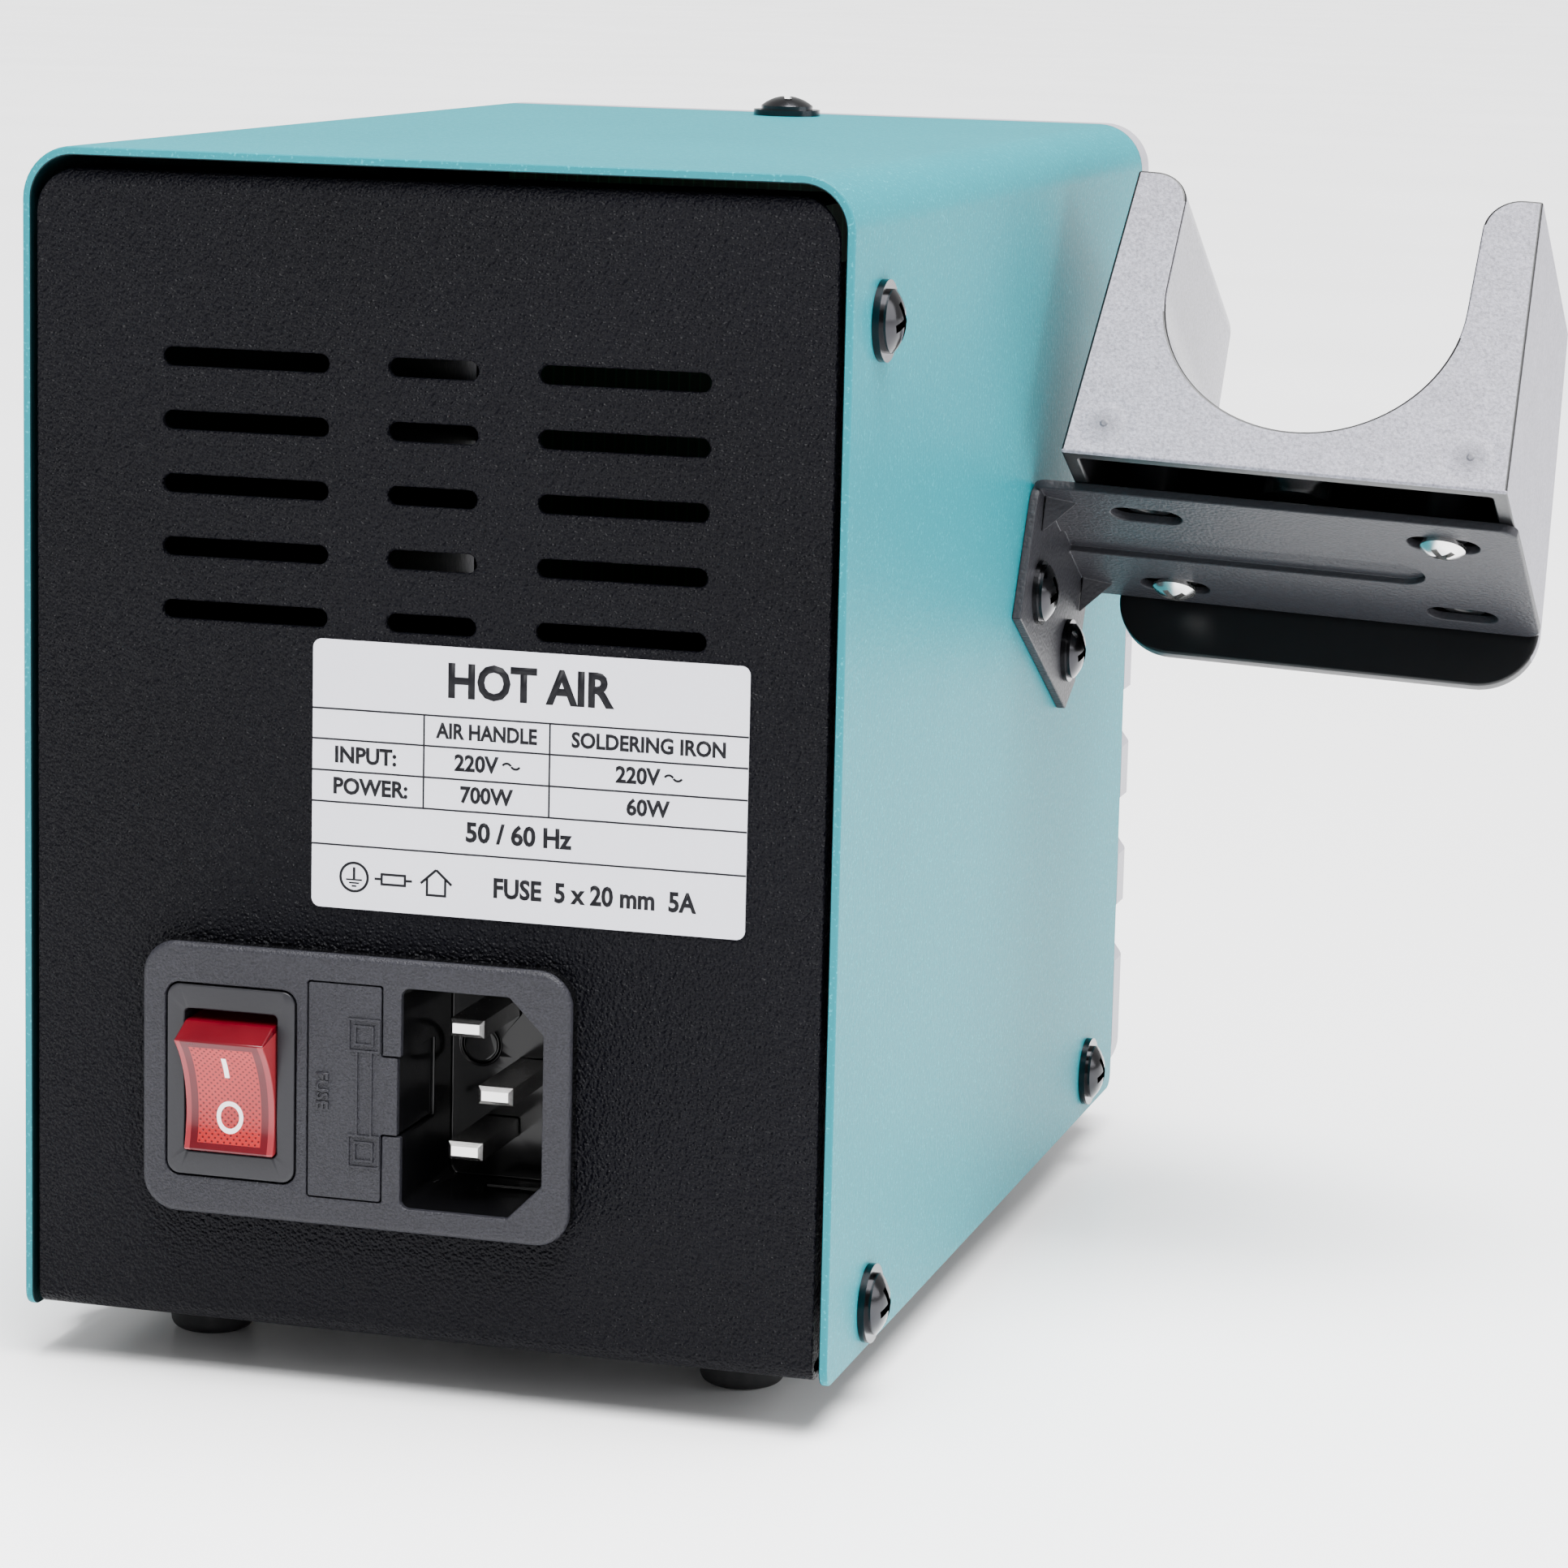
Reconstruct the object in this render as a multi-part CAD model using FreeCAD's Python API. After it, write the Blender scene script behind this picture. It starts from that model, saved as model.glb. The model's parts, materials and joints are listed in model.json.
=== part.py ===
import FreeCAD, Part
import math
import os

# Hot air station with a handle holder: model in millimetres, +Z up, front towards -Y,
# holder on the -X side. The origin is the middle of the whole object's footprint, on the
# surface that it stands on. Sub-parts are built round the middle of the body's footprint
# and moved by BODY_X and BODY_Y when they are written.

# ---- driving sizes ---------------------------------------------------------------------
BODY_W = 95.0            # outside width of the cover
BODY_D = 150.0           # front edge to rear edge of the cover
COVER_H = 132.2          # height of the cover
SHEET = 1.0              # cover and chassis steel
COVER_R = 6.0            # outside bend radius of the cover's top corners
FOOT_GAP = 6.0           # height of the cover's lower edge above the table
BODY_X = 28.817          # body's middle, from the origin
BODY_Y = 5.24

CHASSIS_HALF = 45.8      # half width of the chassis
CHASSIS_LIFT = 0.5       # chassis underside above the cover's lower edge
CHASSIS_TOP = 129.9      # top of the rear panel
CHASSIS_R = 5.0          # rear panel's top corners
BEND_R = 2.0             # outside radius of the chassis bends
FLANGE_D = 17.0          # side flanges of the rear panel
LIP_H = 12.0             # side lips of the base

VENT_PITCH = 7.0
VENT_ROWS = 5
VENT_TOP = 109.7         # middle of the top row
VENT_H = 2.1
VENT_COLUMNS = ((11.4, 30.8), (-5.8, 4.5), (-32.0, -12.7))

LABEL_X = (-37.1, 12.9)
LABEL_Z = (49.5, 79.5)
LABEL_T = 0.15

SCREW_R = 1.5            # M3
HEAD_R = 3.5
HEAD_H = 1.8
WASHER_R = 4.5
WASHER_T = 0.8
FIT = 0.05               # radial clearance of a screw in a plain hole
REAR_TOP_SCREW = (12.0, 116.2)      # from the rear edge, and height on the cover
REAR_LOW_SCREW = (17.0, 5.3)
FRONT_LOW_SCREW = (133.0, 5.9)
TOP_SCREW_BACK = 142.0   # top screw, from the rear edge

BEZEL_D = 8.0            # front frame beyond the cover
BEZEL_R = 4.0            # its rounded front edge
BEZEL_BORDER = 7.5       # width of the frame round the front panel
NOTCH_PITCH = 15.0       # grip notches in the frame's sides
NOTCH_FIRST = 21.6
NOTCH_COUNT = 7
NOTCH_W = 8.0
NOTCH_DEEP = 2.6
BEZEL_SCREW_R = 1.0      # M2
PANEL_T = 1.8            # front panel
PANEL_GAP = 0.2          # front panel's rear face beyond the cover's edge

INLET_X = (-18.3, 32.1)  # mains module flange
INLET_Z = (13.7, 44.7)
INLET_T = 2.5
INLET_R = 4.0
INLET_BODY = 27.0        # depth of the module behind the panel
SOCKET_X = (-15.1, 1.35)
SOCKET_Z = (16.5, 41.5)
SOCKET_CUT = 4.0         # cut corners of the appliance inlet
SOCKET_DEEP = 17.0
SOCKET_RING = (-2.1, 31.8)   # ring moulded in its floor
PIN_ROW_X = -4.8
EARTH_X = -8.8
PIN_MID_Z = 29.6
PIN_SPACING = 14.0
PIN_W = 4.0
PIN_T = 2.0

ROCKER_MID = (21.5, 29.05)   # middle of the power switch, x and height on the cover
FRAME_W = 15.2           # switch frame
FRAME_H = 21.8
FRAME_T = 1.2            # its face plate, let into the mains module
FRONT_FRAME_T = 1.6      # its face plate on the front panel
OPENING_W = 11.0         # opening for the rocker
OPENING_H = 16.3
SWITCH_BODY_W = 13.0
SWITCH_BODY_H = 19.4
SWITCH_DEEP = 15.0
ROCKER_W = 10.6
ROCKER_TILT = 13.0       # either way from level
PIVOT_DEEP = 3.5         # pivot behind the frame's face
ROCKER_PIN_R = 1.0

DRAWER_X = (3.55, 12.4)
DRAWER_Z = (16.9, 41.55)
DRAWER_DEEP = 16.0
DRAWER_TAB_Z = (24.6, 33.7)
DRAWER_TAB_X = 1.75      # end of the tab, just short of the appliance inlet
DRAWER_TAB_DEEP = 11.0
FUSE_R = 2.5
FUSE_L = 20.0

HOLDER_TILT = 29.0       # bracket plate, low at the front
HOLDER_SAG = 2.5         # bracket plate, low at its outer end
HOLDER_BACK = 87.8       # rear end of the bend, from the rear edge
HOLDER_UP = 90.1         # and its height on the cover
BRACKET_T = 1.2
PLATE_OUT = 59.0         # plate's reach from the wall
PLATE_LONG = 35.0        # plate's length along the bend
SLOT_S = (12.4, 49.5)    # slots: outwards from the wall
SLOT_A = (6.3, 29.7)     # and along the bend
SLOT_LONG = 9.0
SLOT_WIDE = 4.2
WALL_SCREW_A = (7.5, 27.5)
WALL_SCREW_W = 11.0
WALL_FLANGE = 17.5
RIB_END = 46.0           # pressed rib of the plate
RIB_W = 6.5
RIB_UP = 0.9

CRADLE_S = (4.0, 58.6)   # cradle's sides at its foot
CRADLE_A = (-9.5, 38.0)  # and its rear and front
CRADLE_H = 40.5
CRADLE_SIDE_DRAFT = 2.8
CRADLE_END_LEAN = 6.5
CRADLE_WALL = 2.0
CRADLE_U_R = 18.5
CRADLE_U_LOW = 5.7       # lowest point of the U above the plate
CRADLE_LIP = 8.0         # front wall below the plate

DISPLAY_Z = 104.0
BUTTON_Z = 79.0
BUTTON_X = (-27.0, -13.0, 13.0, 27.0)
BUTTON_R = 4.0
CONTROL_Z = 54.0         # row of the knob and the two front switches
KNOB_X = 24.0
KNOB_R = 11.0
KNOB_H = 14.0
FRONT_SWITCH_X = (-30.0, -10.0)
SOCKET_ROW_Z = 24.0
IRON_X = -24.0
COLLAR_R = 7.9           # collar that the iron's plug screws on
COLLAR_END = 8.2         # its end in front of the panel
SOCKET_FLANGE_T = 1.6
SOCKET_THREAD_R = 8.0
GLAND_X = 21.0
GLAND_BORE_R = 4.0

# ---- places worked out from the driving sizes -----------------------------------------
HALF_W = BODY_W / 2
REAR = BODY_D / 2
FRONT = -BODY_D / 2
COVER_TOP = FOOT_GAP + COVER_H
PANEL_BACK = FRONT - PANEL_GAP
PANEL_FACE = PANEL_BACK - PANEL_T
FLANGE_FACE = REAR + INLET_T
BASE_Z = FOOT_GAP + CHASSIS_LIFT
FLOOR_IN = BASE_Z + SHEET            # upper face of the chassis base


def up(height):
    """Height above the table of a height measured on the cover."""
    return FOOT_GAP + height


# ---- small shape helpers ---------------------------------------------------------------
def vec(x, y, z):
    return FreeCAD.Vector(x, y, z)


def box(x0, x1, y0, y1, z0, z1):
    return Part.makeBox(x1 - x0, y1 - y0, z1 - z0, vec(x0, y0, z0))


def rod(radius, start, end):
    """Cylinder from one point to another."""
    span = end - start
    return Part.makeCylinder(radius, span.Length, start, span)


def rounded_face(corners):
    """Flat face in XY from (x, y, radius) corners; each corner is a tangent arc."""
    count = len(corners)
    edges = []
    starts = []
    ends = []
    middles = []
    for i in range(count):
        x, y, radius = corners[i]
        here = vec(x, y, 0)
        before = vec(*corners[i - 1][:2], 0) - here
        after = vec(*corners[(i + 1) % count][:2], 0) - here
        before.normalize()
        after.normalize()
        if radius == 0:
            starts.append(here)
            ends.append(here)
            middles.append(None)
            continue
        half = before.getAngle(after) / 2
        reach = radius / math.tan(half)
        bisector = before + after
        bisector.normalize()
        starts.append(here + before * reach)
        ends.append(here + after * reach)
        middles.append(here + bisector * (radius / math.sin(half) - radius))
    for i in range(count):
        if middles[i] is not None:
            edges.append(Part.Arc(starts[i], middles[i], ends[i]).toShape())
        following = starts[(i + 1) % count]
        if (following - ends[i]).Length > 1e-6:
            edges.append(Part.LineSegment(ends[i], following).toShape())
    return Part.Face(Part.Wire(edges))


def along_y(corners, rear, front):
    """Outline in x and z, extruded from the rear plane to the front plane."""
    shape = rounded_face(corners).extrude(vec(0, 0, rear - front))
    shape.rotate(vec(0, 0, 0), vec(1, 0, 0), 90)
    shape.translate(vec(0, rear, 0))
    return shape


def along_x(corners, x0, x1):
    """Outline in y and z, extruded from x0 to x1."""
    shape = rounded_face(corners).extrude(vec(0, 0, x1 - x0))
    turn = FreeCAD.Rotation(vec(0, 1, 0), vec(0, 0, 1), vec(1, 0, 0), "XYZ")
    shape.Placement = FreeCAD.Placement(vec(x0, 0, 0), turn)
    return shape


def rect(x0, x1, z0, z1, radius):
    return [(x0, z0, radius), (x1, z0, radius), (x1, z1, radius), (x0, z1, radius)]


def mid_rect(x, z, width, height, radius):
    return rect(x - width / 2, x + width / 2, z - height / 2, z + height / 2, radius)


def lathe(profile, place, direction):
    """Solid of revolution: profile of (radius, height, corner radius) about a local +Z axis."""
    shape = rounded_face(profile).revolve(vec(0, 0, 0), vec(0, 1, 0), 360)
    shape.rotate(vec(0, 0, 0), vec(1, 0, 0), 90)
    turn = FreeCAD.Rotation(vec(0, 0, 1), direction)
    shape.Placement = FreeCAD.Placement(place, turn).multiply(shape.Placement)
    return shape


def group(shapes):
    return Part.makeCompound(shapes)


def pan_screw(place, outwards, length, head_r=HEAD_R, head_h=HEAD_H, shank_r=SCREW_R):
    """Domed screw with a cross recess; place is the middle of the head's seat."""
    dome_r = (head_r ** 2 + (head_h - 0.5) ** 2) / (2 * (head_h - 0.5))
    head = Part.makeCylinder(head_r, head_h)
    dome = Part.makeSphere(dome_r, vec(0, 0, head_h - dome_r))
    shape = head.common(dome).fuse(Part.makeCylinder(shank_r, length, vec(0, 0, -length)))
    slot = head_r * 0.62
    for turn in (0, 90):
        bar = Part.makeBox(2 * slot, 0.9, 1.4, vec(-slot, -0.45, head_h - 1.4))
        bar.rotate(vec(0, 0, 0), vec(0, 0, 1), turn + 20)
        shape = shape.cut(bar)
    shape.Placement = FreeCAD.Placement(place, FreeCAD.Rotation(vec(0, 0, 1), outwards))
    return shape


def ring(place, outwards, outer, inner, thick):
    shape = Part.makeCylinder(outer, thick).cut(Part.makeCylinder(inner, thick))
    shape.Placement = FreeCAD.Placement(place, FreeCAD.Rotation(vec(0, 0, 1), outwards))
    return shape


# ---- holder frame: s outwards from the wall, a along the bend to the front, n up ------
def holder_placement():
    tilt = math.radians(HOLDER_TILT)
    sag = math.radians(-HOLDER_SAG)
    outward = vec(-math.cos(sag), -math.sin(sag) * math.sin(tilt), math.sin(sag) * math.cos(tilt))
    forward = vec(0, -math.cos(tilt), -math.sin(tilt))
    origin = vec(-HALF_W - BRACKET_T, REAR - HOLDER_BACK, up(HOLDER_UP))
    turn = FreeCAD.Rotation(outward, forward, outward.cross(forward), "XYZ")
    return FreeCAD.Placement(origin, turn)


HOLDER = holder_placement()


def at_holder(shape):
    shape.Placement = HOLDER.multiply(shape.Placement)
    return shape


def holder_vec(s, a, n):
    return HOLDER.multVec(vec(s, a, n))


def wall_point(a, w, x):
    """Point on the wall flange: a along the bend, w below it, at the given x."""
    tilt = math.radians(HOLDER_TILT)
    y = REAR - HOLDER_BACK - a * math.cos(tilt) + w * math.sin(tilt)
    z = up(HOLDER_UP) - a * math.sin(tilt) - w * math.cos(tilt)
    return vec(x, y, z)


# ---- casing ----------------------------------------------------------------------------
def side_screw_places():
    """(point on the cover's outside, outward direction) of the six side screws."""
    places = []
    for side in (-1, 1):
        for back, height in (REAR_TOP_SCREW, REAR_LOW_SCREW, FRONT_LOW_SCREW):
            places.append((vec(side * HALF_W, REAR - back, up(height)), vec(side, 0, 0)))
    return places


def cover_screw_places():
    top = (vec(0, REAR - TOP_SCREW_BACK, COVER_TOP), vec(0, 0, 1))
    return side_screw_places() + [top]


def wall_screw_places():
    return [wall_point(a, WALL_SCREW_W, -HALF_W - BRACKET_T) for a in WALL_SCREW_A]


def make_cover():
    inner = COVER_R - SHEET
    z0 = FOOT_GAP
    outline = [
        (-HALF_W, z0, 0), (-HALF_W + SHEET, z0, 0),
        (-HALF_W + SHEET, COVER_TOP - SHEET, inner), (HALF_W - SHEET, COVER_TOP - SHEET, inner),
        (HALF_W - SHEET, z0, 0), (HALF_W, z0, 0),
        (HALF_W, COVER_TOP, COVER_R), (-HALF_W, COVER_TOP, COVER_R),
    ]
    shape = along_y(outline, REAR, FRONT)
    side = [(FRONT, z0, 2.0), (REAR, z0, 2.0), (REAR, COVER_TOP, 0), (FRONT, COVER_TOP, 0)]
    shape = shape.common(along_x(side, -HALF_W, HALF_W))
    for place, outwards in cover_screw_places():
        shape = shape.cut(rod(SCREW_R + 0.3, place + outwards, place - outwards * 3))
    for place in wall_screw_places():
        shape = shape.cut(rod(SCREW_R + 0.3, place - vec(1, 0, 0), place + vec(5, 0, 0)))
    return shape


def vent_slots():
    slots = []
    for row in range(VENT_ROWS):
        z = up(VENT_TOP - row * VENT_PITCH)
        for x0, x1 in VENT_COLUMNS:
            outline = rect(x0, x1, z - VENT_H / 2, z + VENT_H / 2, VENT_H / 2 - 0.001)
            slots.append(along_y(outline, REAR + 1, REAR - 5))
    return slots


def make_chassis():
    back = REAR
    front = FRONT + 1.5
    t = SHEET
    top_rear = up(CHASSIS_TOP)
    top_front = COVER_TOP - SHEET - 0.1
    inner = BEND_R - t
    profile = [
        (back - 10, top_rear, 0), (back, top_rear, BEND_R), (back, BASE_Z, BEND_R), (front, BASE_Z, BEND_R),
        (front, top_front, BEND_R), (front + 14, top_front, 0), (front + 14, top_front - t, 0),
        (front + t, top_front - t, inner), (front + t, BASE_Z + t, inner), (back - t, BASE_Z + t, inner),
        (back - t, top_rear - t, inner), (back - 10, top_rear - t, 0),
    ]
    shape = along_x(profile, -CHASSIS_HALF, CHASSIS_HALF)
    rear_outline = [
        (-CHASSIS_HALF, BASE_Z, 0), (CHASSIS_HALF, BASE_Z, 0),
        (CHASSIS_HALF, top_rear, CHASSIS_R), (-CHASSIS_HALF, top_rear, CHASSIS_R),
    ]
    front_outline = [(x, top_front if z == top_rear else z, r) for x, z, r in rear_outline]
    limits = along_y(rear_outline, back, 0).fuse(along_y(front_outline, 0, front))
    shape = shape.common(limits)
    for side in (-1, 1):
        x0, x1 = sorted((side * CHASSIS_HALF, side * (CHASSIS_HALF - t)))
        lip = [(front + 1, FLOOR_IN, 0), (back - FLANGE_D, FLOOR_IN, 0),
               (back - FLANGE_D, FLOOR_IN + LIP_H, 2), (front + 1, FLOOR_IN + LIP_H, 0)]
        flange = [(back - FLANGE_D, FLOOR_IN + 1, 0), (back - t, FLOOR_IN + 1, 0),
                  (back - t, top_rear - 7, 0), (back - FLANGE_D, top_rear - 7, 3)]
        shape = shape.fuse(along_x(lip, x0, x1))
        shape = shape.fuse(along_x(flange, x0, x1))
    shape = shape.cut(group(vent_slots()))
    inlet_hole = rect(INLET_X[0] + 1.9, INLET_X[1] - 1.9, up(INLET_Z[0]) + 1.4, up(INLET_Z[1]) - 1.4, 1.0)
    shape = shape.cut(along_y(inlet_hole, REAR + 1, REAR - 5))
    window = rect(-39, 39, up(12), up(124.5), 3.0)
    shape = shape.cut(along_y(window, front + 5, front - 1))
    for place, outwards in cover_screw_places():
        shape = shape.cut(rod(SCREW_R + FIT, place, place - outwards * 4))
    for x, y in foot_places():
        shape = shape.cut(rod(SCREW_R + FIT, vec(x, y, BASE_Z - 1), vec(x, y, FLOOR_IN + 1)))
    for place in bezel_screw_places():
        shape = shape.cut(rod(BEZEL_SCREW_R + FIT, place, place + vec(0, 4, 0)))
    for x, y in base_hole_places():
        shape = shape.cut(rod(SCREW_R + FIT, vec(x, y, BASE_Z - 1), vec(x, y, FLOOR_IN + 1)))
    return shape.removeSplitter()


def make_cover_screws():
    screws = []
    for place, outwards in cover_screw_places():
        screws.append(pan_screw(place + outwards * WASHER_T, outwards, 6.0))
    return group(screws)


def make_cover_washers():
    return group([ring(p, o, WASHER_R, SCREW_R + 0.2, WASHER_T) for p, o in cover_screw_places()])


def make_rating_label():
    outline = rect(*LABEL_X, up(LABEL_Z[0]), up(LABEL_Z[1]), 1.0)
    return along_y(outline, REAR + LABEL_T, REAR)


# ---- feet ------------------------------------------------------------------------------
FOOT_X = 32.4
FOOT_IN = 19.5           # from the front and rear edges
FOOT_TOP_R = 5.6
FOOT_LOW_R = 4.7


def foot_places():
    return [(sx * FOOT_X, sy * (REAR - FOOT_IN)) for sx in (-1, 1) for sy in (-1, 1)]


def make_feet():
    feet = []
    for x, y in foot_places():
        profile = [(2.6, 3.0, 0), (2.6, 0, 0), (FOOT_LOW_R, 0, 1.2), (FOOT_TOP_R, BASE_Z, 0),
                   (SCREW_R + FIT, BASE_Z, 0), (SCREW_R + FIT, 3.0, 0)]
        feet.append(lathe(profile, vec(x, y, 0), vec(0, 0, 1)))
    return group(feet)


def make_foot_screws():
    screws = []
    for x, y in foot_places():
        screws.append(pan_screw(vec(x, y, 3.0), vec(0, 0, -1), 7.0, head_r=2.5, head_h=1.8))
    return group(screws)


# ---- front -----------------------------------------------------------------------------
def bezel_screw_places():
    heights = (up(4.5), up(127.5))
    return [vec(sx * 30.0, FRONT - 0.5, z) for sx in (-1, 1) for z in heights]


def make_front_bezel():
    z0 = FOOT_GAP
    outline = rect(-HALF_W, HALF_W, z0, COVER_TOP, COVER_R)
    shape = along_y(outline, FRONT, FRONT - BEZEL_D)
    rim = [e for e in shape.Edges if abs(e.BoundBox.YMax - (FRONT - BEZEL_D)) < 0.01]
    shape = shape.makeFillet(BEZEL_R, rim)
    notch_r = (NOTCH_W ** 2 / 4 + NOTCH_DEEP ** 2) / (2 * NOTCH_DEEP)
    for side in (-1, 1):
        for i in range(NOTCH_COUNT):
            x = side * (HALF_W - NOTCH_DEEP + notch_r)
            z = up(NOTCH_FIRST + i * NOTCH_PITCH)
            shape = shape.cut(rod(notch_r, vec(x, FRONT - BEZEL_D - 1, z), vec(x, FRONT + 1, z)))
    border = BEZEL_BORDER
    window = rect(-HALF_W + border, HALF_W - border, z0 + border, COVER_TOP - border, 3.0)
    edge = BEZEL_BORDER - 1.6
    rebate = rect(-HALF_W + edge, HALF_W - edge, z0 + edge, COVER_TOP - edge, 2.0)
    shape = shape.cut(along_y(window, FRONT + 1, FRONT - BEZEL_D - 1))
    shape = shape.cut(along_y(rebate, FRONT + 1, PANEL_FACE - 0.05))
    for place in bezel_screw_places():
        shape = shape.cut(rod(BEZEL_SCREW_R + FIT, place + vec(0, 2, 0), place - vec(0, 5.6, 0)))
    return shape


def make_bezel_screws():
    screws = []
    for place in bezel_screw_places():
        seat = vec(place.x, FRONT + 2.5, place.z)
        screws.append(pan_screw(seat, vec(0, 1, 0), 7.0, head_r=1.8, head_h=1.5, shank_r=BEZEL_SCREW_R))
    return group(screws)


def make_front_panel():
    border = BEZEL_BORDER - 1.5
    outline = rect(-HALF_W + border, HALF_W - border, FOOT_GAP + border, COVER_TOP - border, 2.0)
    shape = along_y(outline, PANEL_BACK, PANEL_FACE)
    holes = [mid_rect(0, up(DISPLAY_Z), 70.0, 24.0, 2.0)]
    for x in FRONT_SWITCH_X:
        holes.append(mid_rect(x, up(CONTROL_Z), SWITCH_BODY_W + 0.2, SWITCH_BODY_H + 0.2, 0.5))
    for outline in holes:
        shape = shape.cut(along_y(outline, FRONT + 2, PANEL_FACE - 2))
    rounds = [(x, BUTTON_Z, BUTTON_R + 0.2) for x in BUTTON_X]
    rounds += [(KNOB_X, CONTROL_Z, 3.6), (IRON_X, SOCKET_ROW_Z, 8.05), (GLAND_X, SOCKET_ROW_Z, 7.55)]
    for x, z, radius in rounds:
        shape = shape.cut(rod(radius, vec(x, FRONT + 2, up(z)), vec(x, PANEL_FACE - 2, up(z))))
    return shape


def make_display_window():
    pane = along_y(mid_rect(0, up(DISPLAY_Z), 69.8, 23.8, 1.9), PANEL_BACK, PANEL_FACE - 0.3)
    flange = along_y(mid_rect(0, up(DISPLAY_Z), 74.0, 28.0, 2.0), PANEL_BACK + 1.0, PANEL_BACK)
    return pane.fuse(flange).removeSplitter()


BOARD_Y = FRONT + 10.6   # front face of the control board
BOARD_T = 1.6
DISPLAY_X = 18.0


def make_display_module(x):
    return along_y(mid_rect(x, up(DISPLAY_Z), 30.0, 14.0, 0.6), BOARD_Y, FRONT + 1.2)


def make_control_board():
    board = along_y(rect(-38, 38, up(67), up(124), 1.0), BOARD_Y + BOARD_T, BOARD_Y)
    for x, z in board_post_places():
        board = board.cut(rod(1.5, vec(x, BOARD_Y - 1, z), vec(x, BOARD_Y + 3, z)))
    return board


def board_post_places():
    return [(sx * 35.5, up(z)) for sx in (-1, 1) for z in (70.0, 121.0)]


def make_board_posts():
    posts = []
    for x, z in board_post_places():
        post = rod(2.4, vec(x, PANEL_BACK, z), vec(x, BOARD_Y, z))
        posts.append(post.fuse(rod(1.4, vec(x, BOARD_Y, z), vec(x, BOARD_Y + BOARD_T + 1.2, z))))
    return group(posts)


def make_tact_switches():
    switches = []
    for x in BUTTON_X:
        body = box(x - 3, x + 3, BOARD_Y - 3.6, BOARD_Y, up(BUTTON_Z) - 3, up(BUTTON_Z) + 3)
        stem = rod(1.6, vec(x, BOARD_Y - 3.6, up(BUTTON_Z)), vec(x, BOARD_Y - 4.6, up(BUTTON_Z)))
        switches.append(body.fuse(stem))
    return group(switches)


def make_button(x):
    """Push button: cap through the panel, collar behind it, and a plunger."""
    z = up(BUTTON_Z)
    collar_y = PANEL_BACK + 0.1
    cap = lathe([(0, 0, 0), (BUTTON_R, 0, 0), (BUTTON_R, PANEL_T + 2.0, 0.8), (0, PANEL_T + 2.0, 0)],
                vec(x, collar_y, z), vec(0, -1, 0))
    collar = rod(BUTTON_R + 1.0, vec(x, collar_y, z), vec(x, collar_y + 1.2, z))
    plunger = rod(1.8, vec(x, collar_y + 1.2, z), vec(x, BOARD_Y - 5.4, z))
    return cap.fuse([collar, plunger])


def make_airflow_pot():
    z = up(CONTROL_Z)
    can = rod(8.5, vec(KNOB_X, PANEL_BACK, z), vec(KNOB_X, PANEL_BACK + 9, z))
    bush = rod(3.5, vec(KNOB_X, PANEL_BACK, z), vec(KNOB_X, PANEL_FACE - 3.2, z))
    bore = rod(3.0 + FIT, vec(KNOB_X, PANEL_FACE - 4, z), vec(KNOB_X, PANEL_BACK + 5.0, z))
    tabs = [box(KNOB_X + dx - 0.8, KNOB_X + dx + 0.8, PANEL_BACK + 2, PANEL_BACK + 2.6, z - 13, z - 6.5)
            for dx in (-4, 0, 4)]
    return can.fuse(bush).fuse(tabs).cut(bore)


def make_pot_nut():
    z = up(CONTROL_Z)
    across = 5.6
    angles = [math.radians(60 * i) for i in range(7)]
    corners = [vec(across * math.cos(a), across * math.sin(a), 0) for a in angles]
    nut = Part.Face(Part.makePolygon(corners)).extrude(vec(0, 0, 2.0))
    nut = nut.cut(Part.makeCylinder(3.5 + FIT, 2.0))
    turn = FreeCAD.Rotation(vec(0, 0, 1), vec(0, -1, 0))
    nut.Placement = FreeCAD.Placement(vec(KNOB_X, PANEL_FACE, z), turn)
    return nut


def make_pot_shaft():
    z = up(CONTROL_Z)
    shaft = rod(3.0, vec(KNOB_X, PANEL_BACK + 4.5, z), vec(KNOB_X, PANEL_FACE - 13.0, z))
    flat = box(KNOB_X - 4, KNOB_X + 4, PANEL_FACE - 14, PANEL_FACE - 5, z - 4, z - 1.5)
    return shaft.cut(flat)


def make_airflow_knob():
    z = up(CONTROL_Z)
    base = PANEL_FACE - 0.6
    profile = [
        (0, 12.6, 0), (0, KNOB_H, 0), (KNOB_R - 1.5, KNOB_H, 1.2), (KNOB_R - 0.9, 2.6, 0),
        (KNOB_R, 2.0, 0.3), (KNOB_R, 0, 0), (6.4, 0, 0), (6.4, 3.2, 0), (3.02, 3.2, 0), (3.02, 12.6, 0),
    ]
    knob = lathe(profile, vec(KNOB_X, base, z), vec(0, -1, 0))
    for i in range(18):
        angle = 2 * math.pi * (i + 0.5) / 18
        x = KNOB_X + (KNOB_R - 0.7) * math.cos(angle)
        dz = (KNOB_R - 0.7) * math.sin(angle)
        knob = knob.cut(rod(0.8, vec(x, base - 2.6, z + dz), vec(x, base - KNOB_H - 1, z + dz)))
    return knob


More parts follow.
